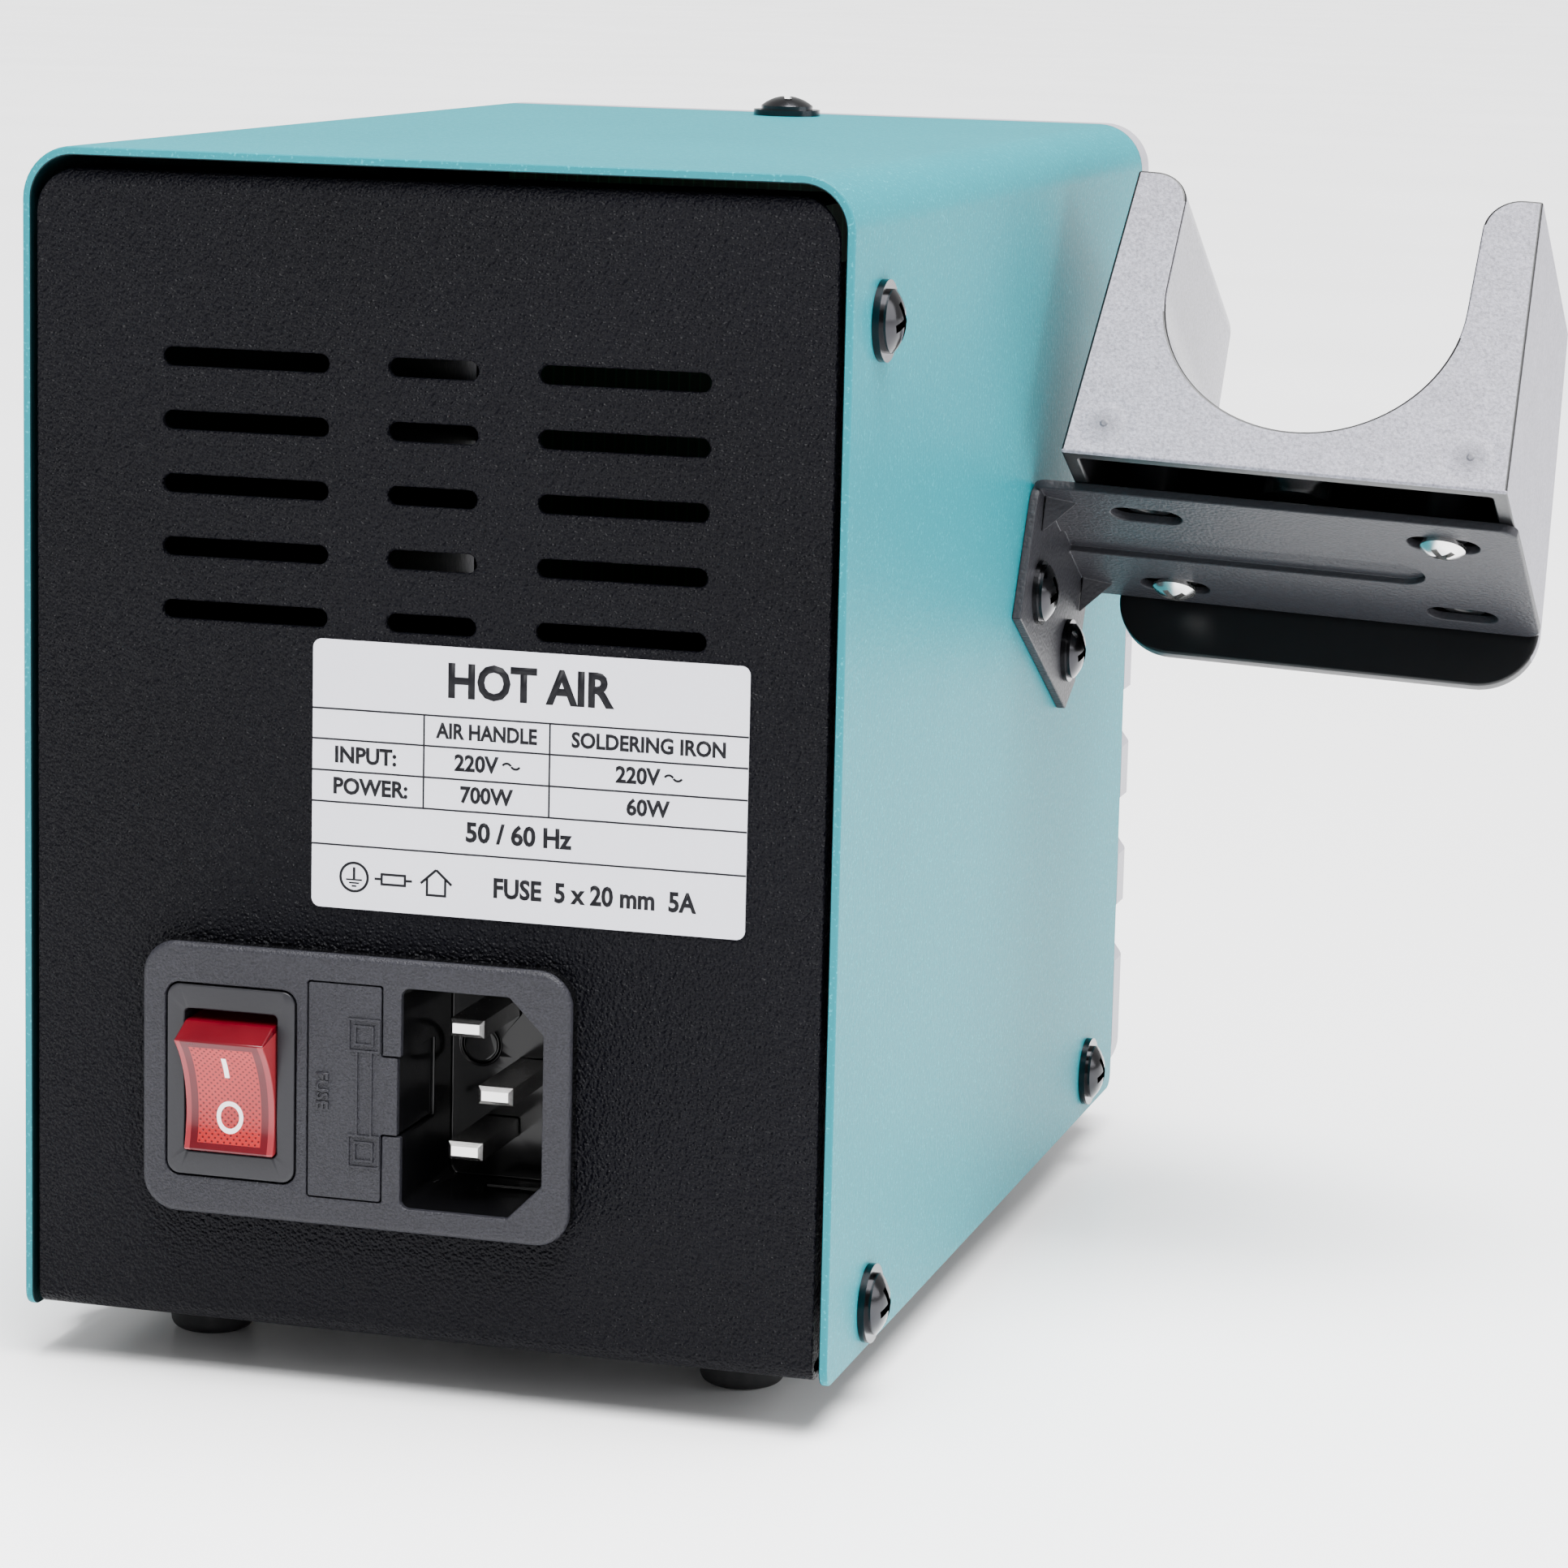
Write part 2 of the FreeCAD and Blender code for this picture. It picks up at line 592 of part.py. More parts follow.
def make_iron_socket():
    """Round five-pin panel socket: flanged shell with a keyed insulator."""
    z = up(SOCKET_ROW_Z)
    inside = 6.6
    profile = [
        (0, -11.8, 0), (inside, -11.8, 0), (inside, -7.0, 0),
        (SOCKET_THREAD_R, -7.0, 0), (SOCKET_THREAD_R, 0, 0),
        (10.5, 0, 0), (10.5, SOCKET_FLANGE_T, 0.6), (COLLAR_R, SOCKET_FLANGE_T, 0),
        (COLLAR_R, COLLAR_END, 0.5), (inside, COLLAR_END, 0), (inside, 0.2, 0), (0, 0.2, 0),
    ]
    shell = lathe(profile, vec(IRON_X, PANEL_FACE, z), vec(0, -1, 0))
    key = box(IRON_X - 0.9, IRON_X + 0.9, PANEL_FACE - 7, PANEL_FACE, z + 5.6, z + 6.8)
    return shell.fuse(key)


def make_iron_socket_pins():
    """Five pins moulded into the insulator, on a circle with a gap under the key."""
    z = up(SOCKET_ROW_Z)
    pins = []
    for i in range(5):
        angle = math.radians(90 + 72 * i + 36)
        x = IRON_X + 3.9 * math.cos(angle)
        dz = 3.9 * math.sin(angle)
        pins.append(rod(0.8, vec(x, PANEL_FACE - 6.5, z + dz), vec(x, PANEL_BACK + 13.5, z + dz)))
    return group(pins)


def make_iron_socket_nut():
    z = up(SOCKET_ROW_Z)
    return ring(vec(IRON_X, PANEL_BACK, z), vec(0, 1, 0), 10.0, SOCKET_THREAD_R + FIT, 2.6)


def make_handle_gland():
    """Cable gland for the hot air handle: collar with a tapered nose and a through bore."""
    z = up(SOCKET_ROW_Z)
    r = GLAND_BORE_R
    profile = [(r, -9.0, 0), (7.5, -9.0, 0), (7.5, 0, 0), (11.0, 0, 0), (11.0, 3.0, 0.8),
               (8.6, 3.4, 0), (6.6, 13.0, 1.0), (r, 13.0, 0)]
    return lathe(profile, vec(GLAND_X, PANEL_FACE, z), vec(0, -1, 0))


def make_gland_nut():
    z = up(SOCKET_ROW_Z)
    return ring(vec(GLAND_X, PANEL_BACK, z), vec(0, 1, 0), 11.0, 7.5 + FIT, 3.0)


# ---- rocker switches -------------------------------------------------------------------
# Built facing +Z with the long side along Y, middle of the frame's face at the origin.
def switch_frame_shape(thick):
    face = rounded_face(mid_rect(0, 0, FRAME_W, FRAME_H, 1.5)).extrude(vec(0, 0, -thick))
    body = rounded_face(mid_rect(0, 0, SWITCH_BODY_W, SWITCH_BODY_H, 0.5)).extrude(vec(0, 0, -SWITCH_DEEP))
    cavity = rounded_face(mid_rect(0, 0, OPENING_W, OPENING_H, 0.6)).extrude(vec(0, 0, -12.0))
    reach = OPENING_W / 2 + 0.9
    bore = rod(ROCKER_PIN_R + 0.06, vec(-reach, 0, -PIVOT_DEEP), vec(reach, 0, -PIVOT_DEEP))
    tabs = [box(x - 2.4, x + 2.4, y - 0.4, y + 0.4, -SWITCH_DEEP - 7, -SWITCH_DEEP + 1)
            for x, y in ((0, -6), (0, 0), (0, 6))]
    return face.fuse(body).cut(cavity).cut(bore).fuse(tabs)


def rocker_shape(tilt):
    """Rocker with a hollow curved face; its low corners are cut to swing inside the frame."""
    h = PIVOT_DEEP
    outline = [
        (-6.8, 5.9, 0.25), (-7.6, 2.2, 0.4), (-6.6, -3.8, 0.5), (6.6, -3.8, 0.5), (7.6, 2.2, 0.4),
        (6.8, 5.9, 0.25), (0, 2.2, 12.5),
    ]
    half = ROCKER_W / 2
    shape = along_x(outline, -half, half)
    shape = shape.fuse(rod(ROCKER_PIN_R, vec(-half - 0.8, 0, 0), vec(half + 0.8, 0, 0)))
    shape.rotate(vec(0, 0, 0), vec(1, 0, 0), tilt)
    shape.translate(vec(0, 0, -h))
    return shape


def face_rear(shape, x, z, y):
    """Turn a switch shape so that it faces +Y, its long side upright."""
    turn = FreeCAD.Rotation(vec(-1, 0, 0), vec(0, 0, 1), vec(0, 1, 0), "XYZ")
    shape.Placement = FreeCAD.Placement(vec(x, y, z), turn).multiply(shape.Placement)
    return shape


def face_front(shape, x, z, y):
    turn = FreeCAD.Rotation(vec(1, 0, 0), vec(0, 0, 1), vec(0, -1, 0), "XYZ")
    shape.Placement = FreeCAD.Placement(vec(x, y, z), turn).multiply(shape.Placement)
    return shape


# ---- mains module ----------------------------------------------------------------------
def socket_outline(grow):
    x0, x1 = SOCKET_X
    z0, z1 = up(SOCKET_Z[0]), up(SOCKET_Z[1])
    cut = SOCKET_CUT
    g = grow
    return [(x0 + cut, z0 - g, 0.5), (x1 + g, z0 - g, 1.0), (x1 + g, z1 + g, 1.0), (x0 + cut, z1 + g, 0.5),
            (x0 - g, z1 - cut, 0.5), (x0 - g, z0 + cut, 0.5)]


def drawer_outline(gap):
    """Outline of the drawer without its pull tab."""
    x0, x1 = DRAWER_X
    z0, z1 = up(DRAWER_Z[0]), up(DRAWER_Z[1])
    return rect(x0 + gap, x1 - gap, z0 + gap, z1 - gap, 0.3)


def make_inlet_housing():
    z0, z1 = up(INLET_Z[0]), up(INLET_Z[1])
    flange = along_y(rect(*INLET_X, z0, z1, INLET_R), FLANGE_FACE, REAR)
    rim = [e for e in flange.Edges if abs(e.BoundBox.YMin - FLANGE_FACE) < 0.01]
    flange = flange.makeFillet(0.7, rim)
    body = along_y(rect(INLET_X[0] + 2.1, INLET_X[1] - 2.1, z0 + 1.6, z1 - 1.6, 1.0), REAR, REAR - INLET_BODY)
    shape = flange.fuse(body)
    x, z = ROCKER_MID
    pocket = mid_rect(x, up(z), SWITCH_BODY_W + 0.1, SWITCH_BODY_H + 0.1, 0.5)
    shape = shape.cut(along_y(pocket, FLANGE_FACE + 1, REAR - INLET_BODY - 1))
    seat = mid_rect(x, up(z), FRAME_W + 0.4, FRAME_H + 0.4, 1.7)
    shape = shape.cut(along_y(seat, FLANGE_FACE + 1, FLANGE_FACE - FRAME_T))
    shape = shape.cut(along_y(drawer_outline(0), FLANGE_FACE + 1, FLANGE_FACE - DRAWER_DEEP - 0.6))
    notch = rect(SOCKET_X[1] - 1, DRAWER_X[0] + 1, up(DRAWER_TAB_Z[0]), up(DRAWER_TAB_Z[1]), 0)
    shape = shape.cut(along_y(notch, FLANGE_FACE + 1, FLANGE_FACE - DRAWER_TAB_DEEP - 0.2))
    floor = FLANGE_FACE - SOCKET_DEEP
    shape = shape.cut(along_y(socket_outline(0), FLANGE_FACE + 1, floor))
    # Moulding marks of the socket: a ring on its floor and a recess in its lower wall.
    x, z = SOCKET_RING
    shape = shape.cut(ring(vec(x, floor - 0.3, up(z)), vec(0, 1, 0), 2.4, 2.05, 0.3))
    z = up(SOCKET_Z[0])
    shape = shape.cut(box(-12.0, -4.0, floor + 3.0, floor + 8.0, z - 0.5, z + 0.5))
    for px, pz, _ in pin_places():
        hole = mid_rect(px, pz, PIN_W, PIN_T, 0)
        shape = shape.cut(along_y(hole, FLANGE_FACE, REAR - INLET_BODY - 1))
    return shape.removeSplitter()


def pin_places():
    """(x, height, tip behind the flange's face) of the three contact blades."""
    half = PIN_SPACING / 2
    mid = up(PIN_MID_Z)
    return [(PIN_ROW_X, mid + half, 4.0), (PIN_ROW_X, mid - half, 4.0), (EARTH_X, mid, 2.4)]


def make_inlet_pins():
    pins = []
    for x, z, deep in pin_places():
        blade = along_y(mid_rect(x, z, PIN_W, PIN_T, 0), FLANGE_FACE - deep, REAR - INLET_BODY)
        tip = [e for e in blade.Edges if abs(e.BoundBox.YMin - (FLANGE_FACE - deep)) < 0.01]
        blade = blade.makeChamfer(0.45, tip)
        tail = box(x - 2, x + 2, REAR - INLET_BODY - 7.5, REAR - INLET_BODY, z - 0.4, z + 0.4)
        pins.append(blade.fuse(tail))
    return group(pins)


def make_fuse_drawer():
    face = FLANGE_FACE
    shape = along_y(drawer_outline(0.12), face, face - DRAWER_DEEP)
    x0, x1 = DRAWER_X
    tab = rect(DRAWER_TAB_X, x0 + 1, up(DRAWER_TAB_Z[0]) + 0.15, up(DRAWER_TAB_Z[1]) - 0.15, 0)
    shape = shape.fuse(along_y(tab, face, face - DRAWER_TAB_DEEP))
    mid = (up(DRAWER_Z[0]) + up(DRAWER_Z[1])) / 2
    room = FUSE_L / 2 + 0.2
    bay = box(x0 - 0.2, x1 - 1.2, face - DRAWER_DEEP + 1.0, face - 2.8, mid - room, mid + room)
    return shape.cut(bay).removeSplitter()


def fuse_places():
    mid = (up(DRAWER_Z[0]) + up(DRAWER_Z[1])) / 2
    x = DRAWER_X[0] + 0.5 + FUSE_R + 0.4
    return [vec(x, FLANGE_FACE - DRAWER_DEEP + 3.8, mid), vec(x, FLANGE_FACE - 5.6, mid)]


def make_fuse_tubes():
    half = FUSE_L / 2 - 5.0
    return group([rod(FUSE_R - 0.15, p - vec(0, 0, half), p + vec(0, 0, half)) for p in fuse_places()])


def make_fuse_caps():
    caps = []
    for place in fuse_places():
        for side in (-1, 1):
            near = place + vec(0, 0, side * (FUSE_L / 2 - 5.0))
            far = place + vec(0, 0, side * FUSE_L / 2)
            caps.append(rod(FUSE_R, near, far))
    return group(caps)


# ---- handle holder ---------------------------------------------------------------------
def slot_tool(s, a, length, width, low, high):
    half = length / 2 - width / 2
    tool = box(s - half, s + half, a - width / 2, a + width / 2, low, high)
    for end in (-half, half):
        tool = tool.fuse(Part.makeCylinder(width / 2, high - low, vec(s + end, a, low)))
    return tool


def rib_bar(width, low, high):
    """Bar along the middle of the plate, for its pressed rib: proud above, hollow below."""
    bar = slot_tool(RIB_END / 2, PLATE_LONG / 2, RIB_END, width, low, high)
    return bar.fuse(box(0, RIB_END / 2, (PLATE_LONG - width) / 2, (PLATE_LONG + width) / 2, low, high))


def make_holder_bracket():
    t = BRACKET_T
    long = PLATE_LONG
    corners = [(-t, 0, 2.0), (PLATE_OUT, 0, 2.0), (PLATE_OUT, long, 2.0), (-t, long, 0)]
    plate = rounded_face(corners).extrude(vec(0, 0, t))
    plate = plate.fuse(rib_bar(RIB_W + 2 * 1.0, t, t + RIB_UP)).cut(rib_bar(RIB_W, 0, RIB_UP))
    for s in SLOT_S:
        for a in SLOT_A:
            plate = plate.cut(slot_tool(s, a, SLOT_LONG, SLOT_WIDE, -1, t + 1))
    plate = at_holder(plate)
    # Wall flange, flat on the cover, in the plane of the cover's side.
    w = WALL_FLANGE
    outline = [(0, 1.6), (0.5, 0.2), (2.0, -t * 0.9), (long, -t * 0.9)]
    outline += [(long, w - 5), (long - 3.5, w), (0, w)]
    points = [wall_point(a, d, -HALF_W - t) for a, d in outline]
    flange = Part.Face(Part.makePolygon(points + points[:1])).extrude(vec(t, 0, 0))
    # Two pressed gussets stiffen the bend.
    gussets = []
    for a in (4.0, long - 4.0):
        wedge = [vec(0.2, a - 1.5, 0.3), vec(4.4, a, 0.3), vec(0.2, a + 1.5, 0.3)]
        low = wall_point(a, 4.6, -HALF_W - t)
        base = [HOLDER.multVec(p) for p in wedge]
        faces = [Part.Face(Part.makePolygon([base[0], base[1], base[2], base[0]]))]
        for i in range(3):
            j = (i + 1) % 3
            faces.append(Part.Face(Part.makePolygon([base[i], low, base[j], base[i]])))
        gussets.append(Part.Solid(Part.Shell(faces)))
    shape = flange.fuse(plate)
    for gusset in gussets:
        shape = shape.fuse(gusset)
    for place in wall_screw_places():
        shape = shape.cut(rod(SCREW_R + 0.3, place - vec(3, 0, 0), place + vec(3, 0, 0)))
    keep_out = box(-HALF_W, HALF_W, -REAR, REAR, 0, COVER_TOP)
    return shape.cut(keep_out).removeSplitter()


def make_bracket_washers():
    outwards = vec(-1, 0, 0)
    return group([ring(p, outwards, 4.0, SCREW_R + 0.2, 0.6) for p in wall_screw_places()])


def make_bracket_screws():
    outwards = vec(-1, 0, 0)
    return group([pan_screw(p + outwards * 0.6, outwards, 8.0) for p in wall_screw_places()])


def make_bracket_nuts():
    nuts = []
    for place in wall_screw_places():
        seat = vec(-HALF_W + SHEET, place.y, place.z)
        nuts.append(ring(seat, vec(1, 0, 0), 3.1, SCREW_R + FIT, 2.4))
    return group(nuts)


def cradle_body(inset, low):
    """Tapered block: outside of the cradle, or its hollow when inset by the wall."""
    side = math.tan(math.radians(CRADLE_SIDE_DRAFT))
    lean = math.tan(math.radians(CRADLE_END_LEAN))
    top = CRADLE_H - inset
    rings = []
    for n in (low, top):
        s0 = CRADLE_S[0] + inset + side * n
        s1 = CRADLE_S[1] - inset - side * n
        a0 = CRADLE_A[0] + inset + lean * n
        a1 = CRADLE_A[1] - inset - lean * n
        points = [vec(s0, a0, n), vec(s1, a0, n), vec(s1, a1, n), vec(s0, a1, n)]
        rings.append(Part.makePolygon(points + points[:1]))
    return Part.makeLoft(rings, True, True)


def cradle_trough(radius, mouth):
    """U-shaped channel along the cradle; its mouth corners flare out in an arc."""
    mid = sum(CRADLE_S) / 2
    centre = CRADLE_U_LOW + CRADLE_U_R
    top = CRADLE_H + 5
    a0, a1 = CRADLE_A[0] - 5, CRADLE_A[1] + 5
    channel = Part.makeCylinder(radius, a1 - a0, vec(mid, a0, centre), vec(0, 1, 0))
    channel = channel.fuse(box(mid - radius, mid + radius, a0, a1, centre, top))
    if mouth:
        flare = 4.5
        start = CRADLE_H - flare
        for side in (-1, 1):
            edge = mid + side * radius
            s0, s1 = sorted((edge - side * 1, edge + side * flare))
            corner = box(s0, s1, a0, a1, start, top)
            round_off = Part.makeCylinder(flare, a1 - a0, vec(edge + side * flare, a0, start), vec(0, 1, 0))
            channel = channel.fuse(corner.cut(round_off))
    return channel


def make_cradle():
    """Hollow moulded holder: outer walls, U trough and bosses, open underneath."""
    wall = CRADLE_WALL
    solid = cradle_body(0, 0)
    hollow = cradle_body(wall, -1)
    shell = solid.cut(hollow)
    skin = cradle_trough(CRADLE_U_R + wall, False).common(solid)
    bosses = []
    for s in SLOT_S:
        for a in SLOT_A:
            bosses.append(Part.makeCylinder(3.1, 12.0, vec(s, a, 0)))
    shape = shell.fuse(skin)
    for boss in bosses:
        shape = shape.fuse(boss.common(solid))
    shape = shape.cut(cradle_trough(CRADLE_U_R, True))
    # Front wall carried on below the plate, with round lower corners.
    s0, s1 = CRADLE_S
    drop = CRADLE_LIP
    outline = [(s0, 0, 0), (s0, -drop, 7.5), (s1, -drop, 7.5), (s1, 0, 0)]
    lip = rounded_face(outline).extrude(vec(0, 0, wall))
    lip.Placement = FreeCAD.Placement(vec(0, CRADLE_A[1], 0), FreeCAD.Rotation(vec(1, 0, 0), 90))
    shape = shape.fuse(lip)
    # Room for the plate's rib under the inner side wall.
    shape = shape.cut(rib_bar(RIB_W + 2 * 1.3, -1, RIB_UP + 0.3))
    for s in SLOT_S:
        for a in SLOT_A:
            shape = shape.cut(Part.makeCylinder(1.45 + FIT, 10.0, vec(s, a, -1)))
    shape.translate(vec(0, 0, BRACKET_T))
    return at_holder(shape.removeSplitter())


def cradle_screw_spots():
    """The two slots that hold screws: rear outer and front inner."""
    return [(SLOT_S[1], SLOT_A[0]), (SLOT_S[0], SLOT_A[1])]


def make_cradle_screws():
    down = HOLDER.Rotation.multVec(vec(0, 0, -1))
    return group([pan_screw(holder_vec(s, a, 0), down, 9.0, head_r=2.8, head_h=1.6, shank_r=1.45)
                  for s, a in cradle_screw_spots()])


def make_sleep_magnet():
    """Disc magnet under the trough that tells the handle it has been put away."""
    mid = sum(CRADLE_S) / 2
    low = BRACKET_T + CRADLE_U_LOW - CRADLE_WALL - 2.6
    return at_holder(Part.makeCylinder(5.0, 2.4, vec(mid, 4.0, low)))


# ---- inside ----------------------------------------------------------------------------
TRANS_Y = 16.0
TRANS_W = 57.0
TRANS_H = 48.0
TRANS_D = 34.0
MAIN_BOARD = (-41.0, 41.0, -58.0, -10.0)
MAIN_BOARD_Z = FLOOR_IN + 6.0
EARTH_AT = (37.0, 38.0)


def trans_foot_places():
    return [(sx * 34.5, TRANS_Y) for sx in (-1, 1)]


def main_post_places():
    x0, x1, y0, y1 = MAIN_BOARD
    return [(x, y) for x in (x0 + 5, x1 - 5) for y in (y0 + 9, y1 - 9)]


def base_hole_places():
    return trans_foot_places() + main_post_places() + [EARTH_AT]


def make_transformer_core():
    y0, y1 = TRANS_Y - TRANS_D / 2, TRANS_Y + TRANS_D / 2
    z0 = FLOOR_IN + 1.0
    core = box(-TRANS_W / 2, TRANS_W / 2, y0, y1, z0, z0 + TRANS_H)
    for side in (-1, 1):
        x0, x1 = sorted((side * 9.5, side * 19.0))
        core = core.cut(box(x0, x1, y0 - 1, y1 + 1, z0 + 9.5, z0 + TRANS_H - 9.5))
    return core


def make_transformer_winding():
    y0, y1 = TRANS_Y - TRANS_D / 2 - 5, TRANS_Y + TRANS_D / 2 + 5
    z0 = FLOOR_IN + 1.0
    bulk = along_y(rect(-18.8, 18.8, z0 + 9.8, z0 + TRANS_H - 9.8, 2.0), y1, y0)
    limb = box(-9.6, 9.6, TRANS_Y - TRANS_D / 2 - 0.1, TRANS_Y + TRANS_D / 2 + 0.1, z0, z0 + TRANS_H)
    return bulk.cut(limb)


def make_transformer_strap():
    """Steel strap over the core, with a foot on each side."""
    z0 = FLOOR_IN
    top = z0 + 1.0 + TRANS_H
    t = 1.0
    half = TRANS_W / 2 + 0.05
    outline = [
        (-half - t - 10, z0, 0), (-half, z0, 0), (-half, top + 0.05, 0), (half, top + 0.05, 0), (half, z0, 0),
        (half + t + 10, z0, 0), (half + t + 10, z0 + t, 0), (half + t, z0 + t, 0), (half + t, top + t, 1.0),
        (-half - t, top + t, 1.0), (-half - t, z0 + t, 0), (-half - t - 10, z0 + t, 0),
    ]
    strap = along_y(outline, TRANS_Y + 10, TRANS_Y - 10)
    for x, y in trans_foot_places():
        strap = strap.cut(rod(SCREW_R + FIT, vec(x, y, z0 - 1), vec(x, y, z0 + 3)))
    return strap


def make_transformer_screws():
    seat = FLOOR_IN + 1.0
    return group([pan_screw(vec(x, y, seat), vec(0, 0, 1), 3.5, head_r=2.8, head_h=1.9)
                  for x, y in trans_foot_places()])


def make_main_board():
    x0, x1, y0, y1 = MAIN_BOARD
    board = box(x0, x1, y0, y1, MAIN_BOARD_Z, MAIN_BOARD_Z + BOARD_T)
    for x, y in main_post_places():
        board = board.cut(rod(SCREW_R + FIT, vec(x, y, MAIN_BOARD_Z - 1), vec(x, y, MAIN_BOARD_Z + 3)))
    return board


def make_main_board_posts():
    places = main_post_places()
    return group([ring(vec(x, y, FLOOR_IN), vec(0, 0, 1), 3.0, SCREW_R + FIT, 6.0) for x, y in places])


def make_main_board_screws():
    seat = MAIN_BOARD_Z + BOARD_T
    return group([pan_screw(vec(x, y, seat), vec(0, 0, 1), 8.0, head_r=2.8, head_h=1.9)
                  for x, y in main_post_places()])


def make_heatsink():
    z0 = MAIN_BOARD_Z + BOARD_T
    plate = box(-31.0, -1.0, -20.0, -18.0, z0, z0 + 24)
    fins = [box(-31.0 + i * 7.0, -29.0 + i * 7.0, -18.0, -12.0, z0, z0 + 24) for i in range(5)]
    return plate.fuse(fins).removeSplitter()


def make_triac():
    z0 = MAIN_BOARD_Z + BOARD_T
    body = box(-24.0, -14.0, -24.5, -20.0, z0 + 4, z0 + 13)
    tab = box(-24.0, -14.0, -21.3, -20.0, z0 + 13, z0 + 19.5)
    legs = [box(-19.4 + dx, -18.6 + dx, -23.0, -22.5, z0, z0 + 4) for dx in (-2.5, 0, 2.5)]
    return body.fuse(tab).fuse(legs)


def make_capacitors():
    z0 = MAIN_BOARD_Z + BOARD_T
    cans = [(11.0, -24.0, 6.3, 20.0), (25.5, -24.0, 6.3, 20.0), (18.0, -38.0, 4.0, 11.0)]
    return group([Part.makeCylinder(r, h, vec(x, y, z0)) for x, y, r, h in cans])


def make_terminal_blocks():
    z0 = MAIN_BOARD_Z + BOARD_T
    return group([box(x, x + 15, -56.5, -48.5, z0, z0 + 10) for x in (-28.0, -8.0, 12.0)])


def make_earth_bolt():
    shank = rod(SCREW_R, vec(*EARTH_AT, BASE_Z - 0.9), vec(*EARTH_AT, FLOOR_IN + 9))
    head = rod(2.8, vec(*EARTH_AT, BASE_Z - 1.8), vec(*EARTH_AT, BASE_Z))
    return shank.fuse(head)


def make_earth_nuts():
    seats = (FLOOR_IN, FLOOR_IN + 3.4)
    return group([ring(vec(*EARTH_AT, z), vec(0, 0, 1), 3.1, SCREW_R + FIT, 2.4) for z in seats])


# ---- all sub-parts ---------------------------------------------------------------------
def make_nodes():
    x, z = ROCKER_MID
    nodes = {
        "cover": make_cover(),
        "chassis": make_chassis(),
        "cover_screws": make_cover_screws(),
        "cover_washers": make_cover_washers(),
        "rating_label": make_rating_label(),
        "feet": make_feet(),
        "foot_screws": make_foot_screws(),
        "front_bezel": make_front_bezel(),
        "bezel_screws": make_bezel_screws(),
        "front_panel": make_front_panel(),
        "display_window": make_display_window(),
        "display_iron": make_display_module(-DISPLAY_X),
        "display_air": make_display_module(DISPLAY_X),
        "control_board": make_control_board(),
        "control_board_posts": make_board_posts(),
        "tact_switches": make_tact_switches(),
        "airflow_pot": make_airflow_pot(),
        "pot_nut": make_pot_nut(),
        "pot_shaft": make_pot_shaft(),
        "airflow_knob": make_airflow_knob(),
        "iron_socket": make_iron_socket(),
        "iron_socket_pins": make_iron_socket_pins(),
        "iron_socket_nut": make_iron_socket_nut(),
        "handle_gland": make_handle_gland(),
        "gland_nut": make_gland_nut(),
        "inlet_housing": make_inlet_housing(),
        "inlet_pins": make_inlet_pins(),
        "power_switch_frame": face_rear(switch_frame_shape(FRAME_T), x, up(z), FLANGE_FACE),
        "power_rocker": face_rear(rocker_shape(ROCKER_TILT), x, up(z), FLANGE_FACE),
        "fuse_drawer": make_fuse_drawer(),
        "fuse_tubes": make_fuse_tubes(),
        "fuse_caps": make_fuse_caps(),
        "holder_bracket": make_holder_bracket(),
        "bracket_washers": make_bracket_washers(),
        "bracket_screws": make_bracket_screws(),
        "bracket_nuts": make_bracket_nuts(),
        "cradle": make_cradle(),
        "cradle_screws": make_cradle_screws(),
        "sleep_magnet": make_sleep_magnet(),
        "transformer_core": make_transformer_core(),
        "transformer_winding": make_transformer_winding(),
        "transformer_strap": make_transformer_strap(),
        "transformer_screws": make_transformer_screws(),
        "main_board": make_main_board(),
        "main_board_posts": make_main_board_posts(),
        "main_board_screws": make_main_board_screws(),
        "heatsink": make_heatsink(),
        "triac": make_triac(),
        "capacitors": make_capacitors(),
        "terminal_blocks": make_terminal_blocks(),
        "earth_bolt": make_earth_bolt(),
        "earth_nuts": make_earth_nuts(),
    }
    for name, position in zip(("iron_down", "iron_up", "air_down", "air_up"), BUTTON_X):
        nodes["button_" + name] = make_button(position)
    for name, position in zip(("iron", "air"), FRONT_SWITCH_X):
        face = PANEL_FACE - FRONT_FRAME_T
        frame = switch_frame_shape(FRONT_FRAME_T)
        nodes[name + "_switch_frame"] = face_front(frame, position, up(CONTROL_Z), face)
        nodes[name + "_rocker"] = face_front(rocker_shape(ROCKER_TILT), position, up(CONTROL_Z), face)
    return nodes


def main():
    os.makedirs("parts", exist_ok=True)
    for name, shape in make_nodes().items():
        shape.translate(vec(BODY_X, BODY_Y, 0))
        shape.exportStep(f"parts/{name}.step")
        print(name, len(shape.Solids), shape.isValid(), round(shape.Volume, 1))


main()
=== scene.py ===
import json
import math

import bmesh
import bpy
from mathutils import Matrix, Vector


